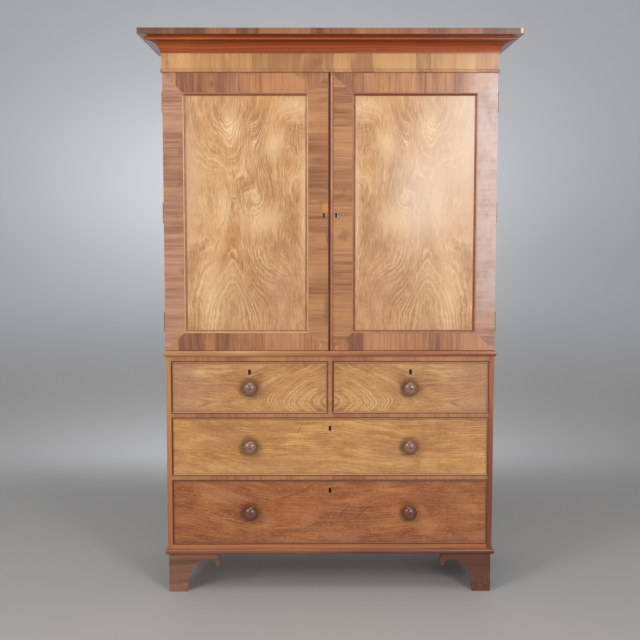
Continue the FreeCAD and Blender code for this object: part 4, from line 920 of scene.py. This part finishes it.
def metal(name, look, keyhole=None, front=None):
    """Stained metal, black where it shows through a keyhole."""
    net = Net(name)
    stain = net.noise(net.x * 90, net.y * 90, net.z * 90 + look.seed, detail=4)
    colour = net.blend(look.bright, look.stained, stain.ramp(0.4, 0.68) * 0.7)
    if keyhole:
        colour = keyhole_shade(net, colour, keyhole, front)
    return net.finish(colour, stain * 0.25 + look.roughness, 0.0, stain, 0.1, metallic=1.0)


def metals():
    brass = metal("aged_brass", AGED_BRASS)
    wear("left_door_hinges", "right_door_hinges", "fixed_hinge_leaves", material=brass)
    for name in DRAWERS:
        front = span(f"{name}_front")[0].y
        wear(f"{name}_lock", material=metal(f"{name}_lock_brass", AGED_BRASS, drawer_keyhole(name), front))
        wear(f"{name}_lock_bolt", material=brass)
    front = span("right_door_lock_stile")[0].y
    steel = metal("aged_steel", AGED_STEEL, DOOR_KEYHOLES["right"], front)
    wear("right_door_lock", "right_door_lock_bolt", material=steel)


# -------- small fasteners

HINGE_FROM_END = 0.105
SCREW_SPACING, SCREW_RADIUS, SCREW_SLOT = 0.026, 0.0029, 0.0008
SCREW_SUNK, SCREW_PROUD = 0.0005, 0.0002
LEAF_MIDDLE = 0.0085
NAIL_RADIUS, NAIL_SPACING, NAIL_FROM_EDGE = 0.0026, 0.10, 0.012
NAIL_SUNK, NAIL_PROUD = 0.001, 0.0005
ROUND_STEPS = 10


def prism(bm, outline, low_y, high_y):
    """A flat outline in x and z, given thickness along y."""
    near = [bm.verts.new((x, low_y, z)) for x, z in outline]
    far = [bm.verts.new((x, high_y, z)) for x, z in outline]
    bm.faces.new(near)
    bm.faces.new(far[::-1])
    for index in range(len(outline)):
        after = (index + 1) % len(outline)
        bm.faces.new((near[after], near[index], far[index], far[after]))


def arc(x, z, radius, start, end):
    angles = [start + (end - start) * step / ROUND_STEPS for step in range(ROUND_STEPS + 1)]
    return [(x + radius * math.cos(angle), z + radius * math.sin(angle)) for angle in angles]


def put(name, data):
    """Puts a mesh, a lamp or a camera in the scene."""
    thing = bpy.data.objects.new(name, data)
    bpy.context.scene.collection.objects.link(thing)
    return thing


def mesh_piece(name, body, material, build):
    """A new piece of the object, made by a function that fills a bmesh."""
    bm = bmesh.new()
    build(bm)
    bmesh.ops.recalc_face_normals(bm, faces=bm.faces)
    mesh = bpy.data.meshes.new(name)
    bm.to_mesh(mesh)
    bm.free()
    mesh.materials.append(material)
    piece = put(name, mesh)
    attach(piece, body)


def screw_heads(bm, places, low_y, high_y):
    """Flat heads: two half discs either side of a level slot."""
    tilt = math.asin(SCREW_SLOT / 2 / SCREW_RADIUS)
    for x, z in places:
        prism(bm, arc(x, z, SCREW_RADIUS, tilt, math.pi - tilt), low_y, high_y)
        prism(bm, arc(x, z, SCREW_RADIUS, math.pi + tilt, 2 * math.pi - tilt), low_y, high_y)


def hinge_screws(brass):
    """Three screws in each hinge leaf, on the doors and on the case."""
    low, high = span("left_door_hinge_stile")
    levels = [low.z + HINGE_FROM_END, (low.z + high.z) / 2, high.z - HINGE_FROM_END]
    heights = [level + step * SCREW_SPACING for level in levels for step in (-1, 0, 1)]
    door_back, case_front = high.y, span("upper_side_left")[0].y
    all_places = []
    for side, sign in (("left", 1), ("right", -1)):
        places = [(sign * (low.x + LEAF_MIDDLE), z) for z in heights]
        mesh_piece(f"{side}_door_hinge_screws", f"{side}_door", brass,
                   lambda bm: screw_heads(bm, places, door_back - SCREW_SUNK, door_back + SCREW_PROUD))
        all_places += places
    mesh_piece("case_hinge_screws", "case", brass,
               lambda bm: screw_heads(bm, all_places, case_front - SCREW_PROUD, case_front + SCREW_SUNK))


def back_nails(steel):
    """Nails along the top and bottom of the back boards."""
    places = []
    for name in ("base_back_boards", "upper_back_boards"):
        low, high = span(name)
        count = round((high.x - low.x) / NAIL_SPACING)
        for z in (low.z + NAIL_FROM_EDGE, high.z - NAIL_FROM_EDGE):
            places += [(low.x + (high.x - low.x) * (index + 0.5) / count, z) for index in range(count)]
        back = high.y

    def build(bm):
        for x, z in places:
            prism(bm, arc(x, z, NAIL_RADIUS, 0, 2 * math.pi)[:-1], back - NAIL_SUNK, back + NAIL_PROUD)

    mesh_piece("back_board_nails", "case", steel, build)


def fasteners():
    hinge_screws(metal("screw_brass", SCREW_BRASS))
    back_nails(metal("nail_iron", NAIL_IRON))


# -------- studio and camera

CAMERA_PLACE = (-0.0665, -4.571, 1.445)
CAMERA_PITCH, CAMERA_YAW = -5.32, 0.38
CAMERA_LENS = 65.6
BACKDROP_FRONT, BACKDROP_BACK, BACKDROP_HIGH = -9.0, 3.4, 5.5
BACKDROP_BEND, BEND_STEPS = 1.2, 24
BACKDROP_HALF = 7.0
# How high up the floor's paper has turned into the wall's.
PAPER_CHANGE = 0.9
PAPER_ROUGHNESS = 0.55
FLOOR_PAPER, WALL_PAPER = linear("b6b5b3"), linear("d0d3d8")
# Soft pools of light: middle across and up on the wall, and across and back on the floor's bend.
GLOW_PLACE, GLOW_SIZE, GLOW_STRENGTH = (-0.38, 1.62), (1.70, 0.76), 0.60
BAND_PLACE, BAND_SIZE, BAND_STRENGTH, BAND_TOP = (-0.25, 2.35), (1.8, 0.62), 0.42, 0.7
# Each softbox: its place, what it faces, its width, height and power.
SOFTBOXES = {
    "left_softbox": ((-2.6, -3.6, 2.6), (0, 0, 1.1), 1.4, 1.4, 66),
    "right_softbox": ((1.75, -4.35, 2.0), (0, 0, 1.1), 0.8, 1.3, 70),
    "top_softbox": ((0, -2.0, 4.2), (0, 0, 0.8), 3.0, 2.0, 38),
}
AIR_STRENGTH = 0.33


def wall_glow(net):
    """Brightens the backdrop's wall, but only as the camera, gloss and glass see it."""
    path = net.add("LightPath")
    camera_ray, gloss_ray, glass_ray = [Signal(net, path.outputs[name]) for name in
                                        ("Is Camera Ray", "Is Glossy Ray", "Is Transmission Ray")]
    pool = oval(net.x, net.z, *GLOW_PLACE, *GLOW_SIZE) * net.z.ramp(0.0, PAPER_CHANGE) * GLOW_STRENGTH
    band = oval(net.x, net.y, *BAND_PLACE, *BAND_SIZE) * net.z.ramp(BAND_TOP, 0.0) * BAND_STRENGTH
    net.fill(net.shader, {"Emission Color": WALL_PAPER,
                          "Emission Strength": camera_ray.most(gloss_ray).most(glass_ray) * (pool + band)})


def backdrop():
    """A pale floor that curves up into a wall behind the press. The wall can be seen through from behind."""
    profile = [(BACKDROP_FRONT, 0.0)]
    for step in range(BEND_STEPS + 1):
        angle = math.pi / 2 * step / BEND_STEPS
        profile.append((BACKDROP_BACK - BACKDROP_BEND * (1 - math.sin(angle)),
                        BACKDROP_BEND * (1 - math.cos(angle))))
    profile.append((BACKDROP_BACK, BACKDROP_HIGH))
    corners = [(x, y, z) for y, z in profile for x in (-BACKDROP_HALF, BACKDROP_HALF)]
    faces = [(2 * i, 2 * i + 1, 2 * i + 3, 2 * i + 2) for i in range(len(profile) - 1)]
    mesh = bpy.data.meshes.new("studio_sweep")
    mesh.from_pydata(corners, [], faces)
    mesh.shade_smooth()
    sweep = put("studio_sweep", mesh)
    net = Net("studio_paper")
    colour = net.blend(FLOOR_PAPER, WALL_PAPER, net.z.ramp(0.0, PAPER_CHANGE))
    wall_glow(net)
    behind = Signal(net, net.add("NewGeometry").outputs["Backfacing"])
    net.fill(net.shader, {"Alpha": 1.0 - behind})
    mesh.materials.append(net.finish(colour, PAPER_ROUGHNESS, 0.0))


def softboxes():
    for name, (place, target, width, height, power) in SOFTBOXES.items():
        lamp = bpy.data.lights.new(name, "AREA")
        lamp.shape = "RECTANGLE"
        lamp.size, lamp.size_y = width, height
        lamp.energy = power
        lit = put(name, lamp)
        lit.location = place
        lit.rotation_euler = (Vector(target) - Vector(place)).to_track_quat("-Z", "Y").to_euler()


def studio():
    backdrop()
    softboxes()
    world = bpy.data.worlds.new("studio_air")
    world.use_nodes = True
    air = world.node_tree.nodes["Background"]
    air.inputs["Color"].default_value = (1, 1, 1, 1)
    air.inputs["Strength"].default_value = AIR_STRENGTH
    bpy.context.scene.world = world


def camera():
    data = bpy.data.cameras.new("camera")
    data.lens = CAMERA_LENS
    seen = put("camera", data)
    seen.location = CAMERA_PLACE
    seen.rotation_euler = [math.radians(angle) for angle in (90 + CAMERA_PITCH, 0, -CAMERA_YAW)]
    bpy.context.scene.camera = seen


door_panel("left")
door_panel("right")
door_frames()
drawer_fronts()
case_sides()
rails_and_partition()
base_mouldings()
cornice_moulding()
frieze_and_fascia()
feet()
drawer_boxes()
back_boards()
carcass()
knobs()
metals()
fasteners()
studio()
camera()
bpy.context.scene.view_settings.view_transform = "Standard"
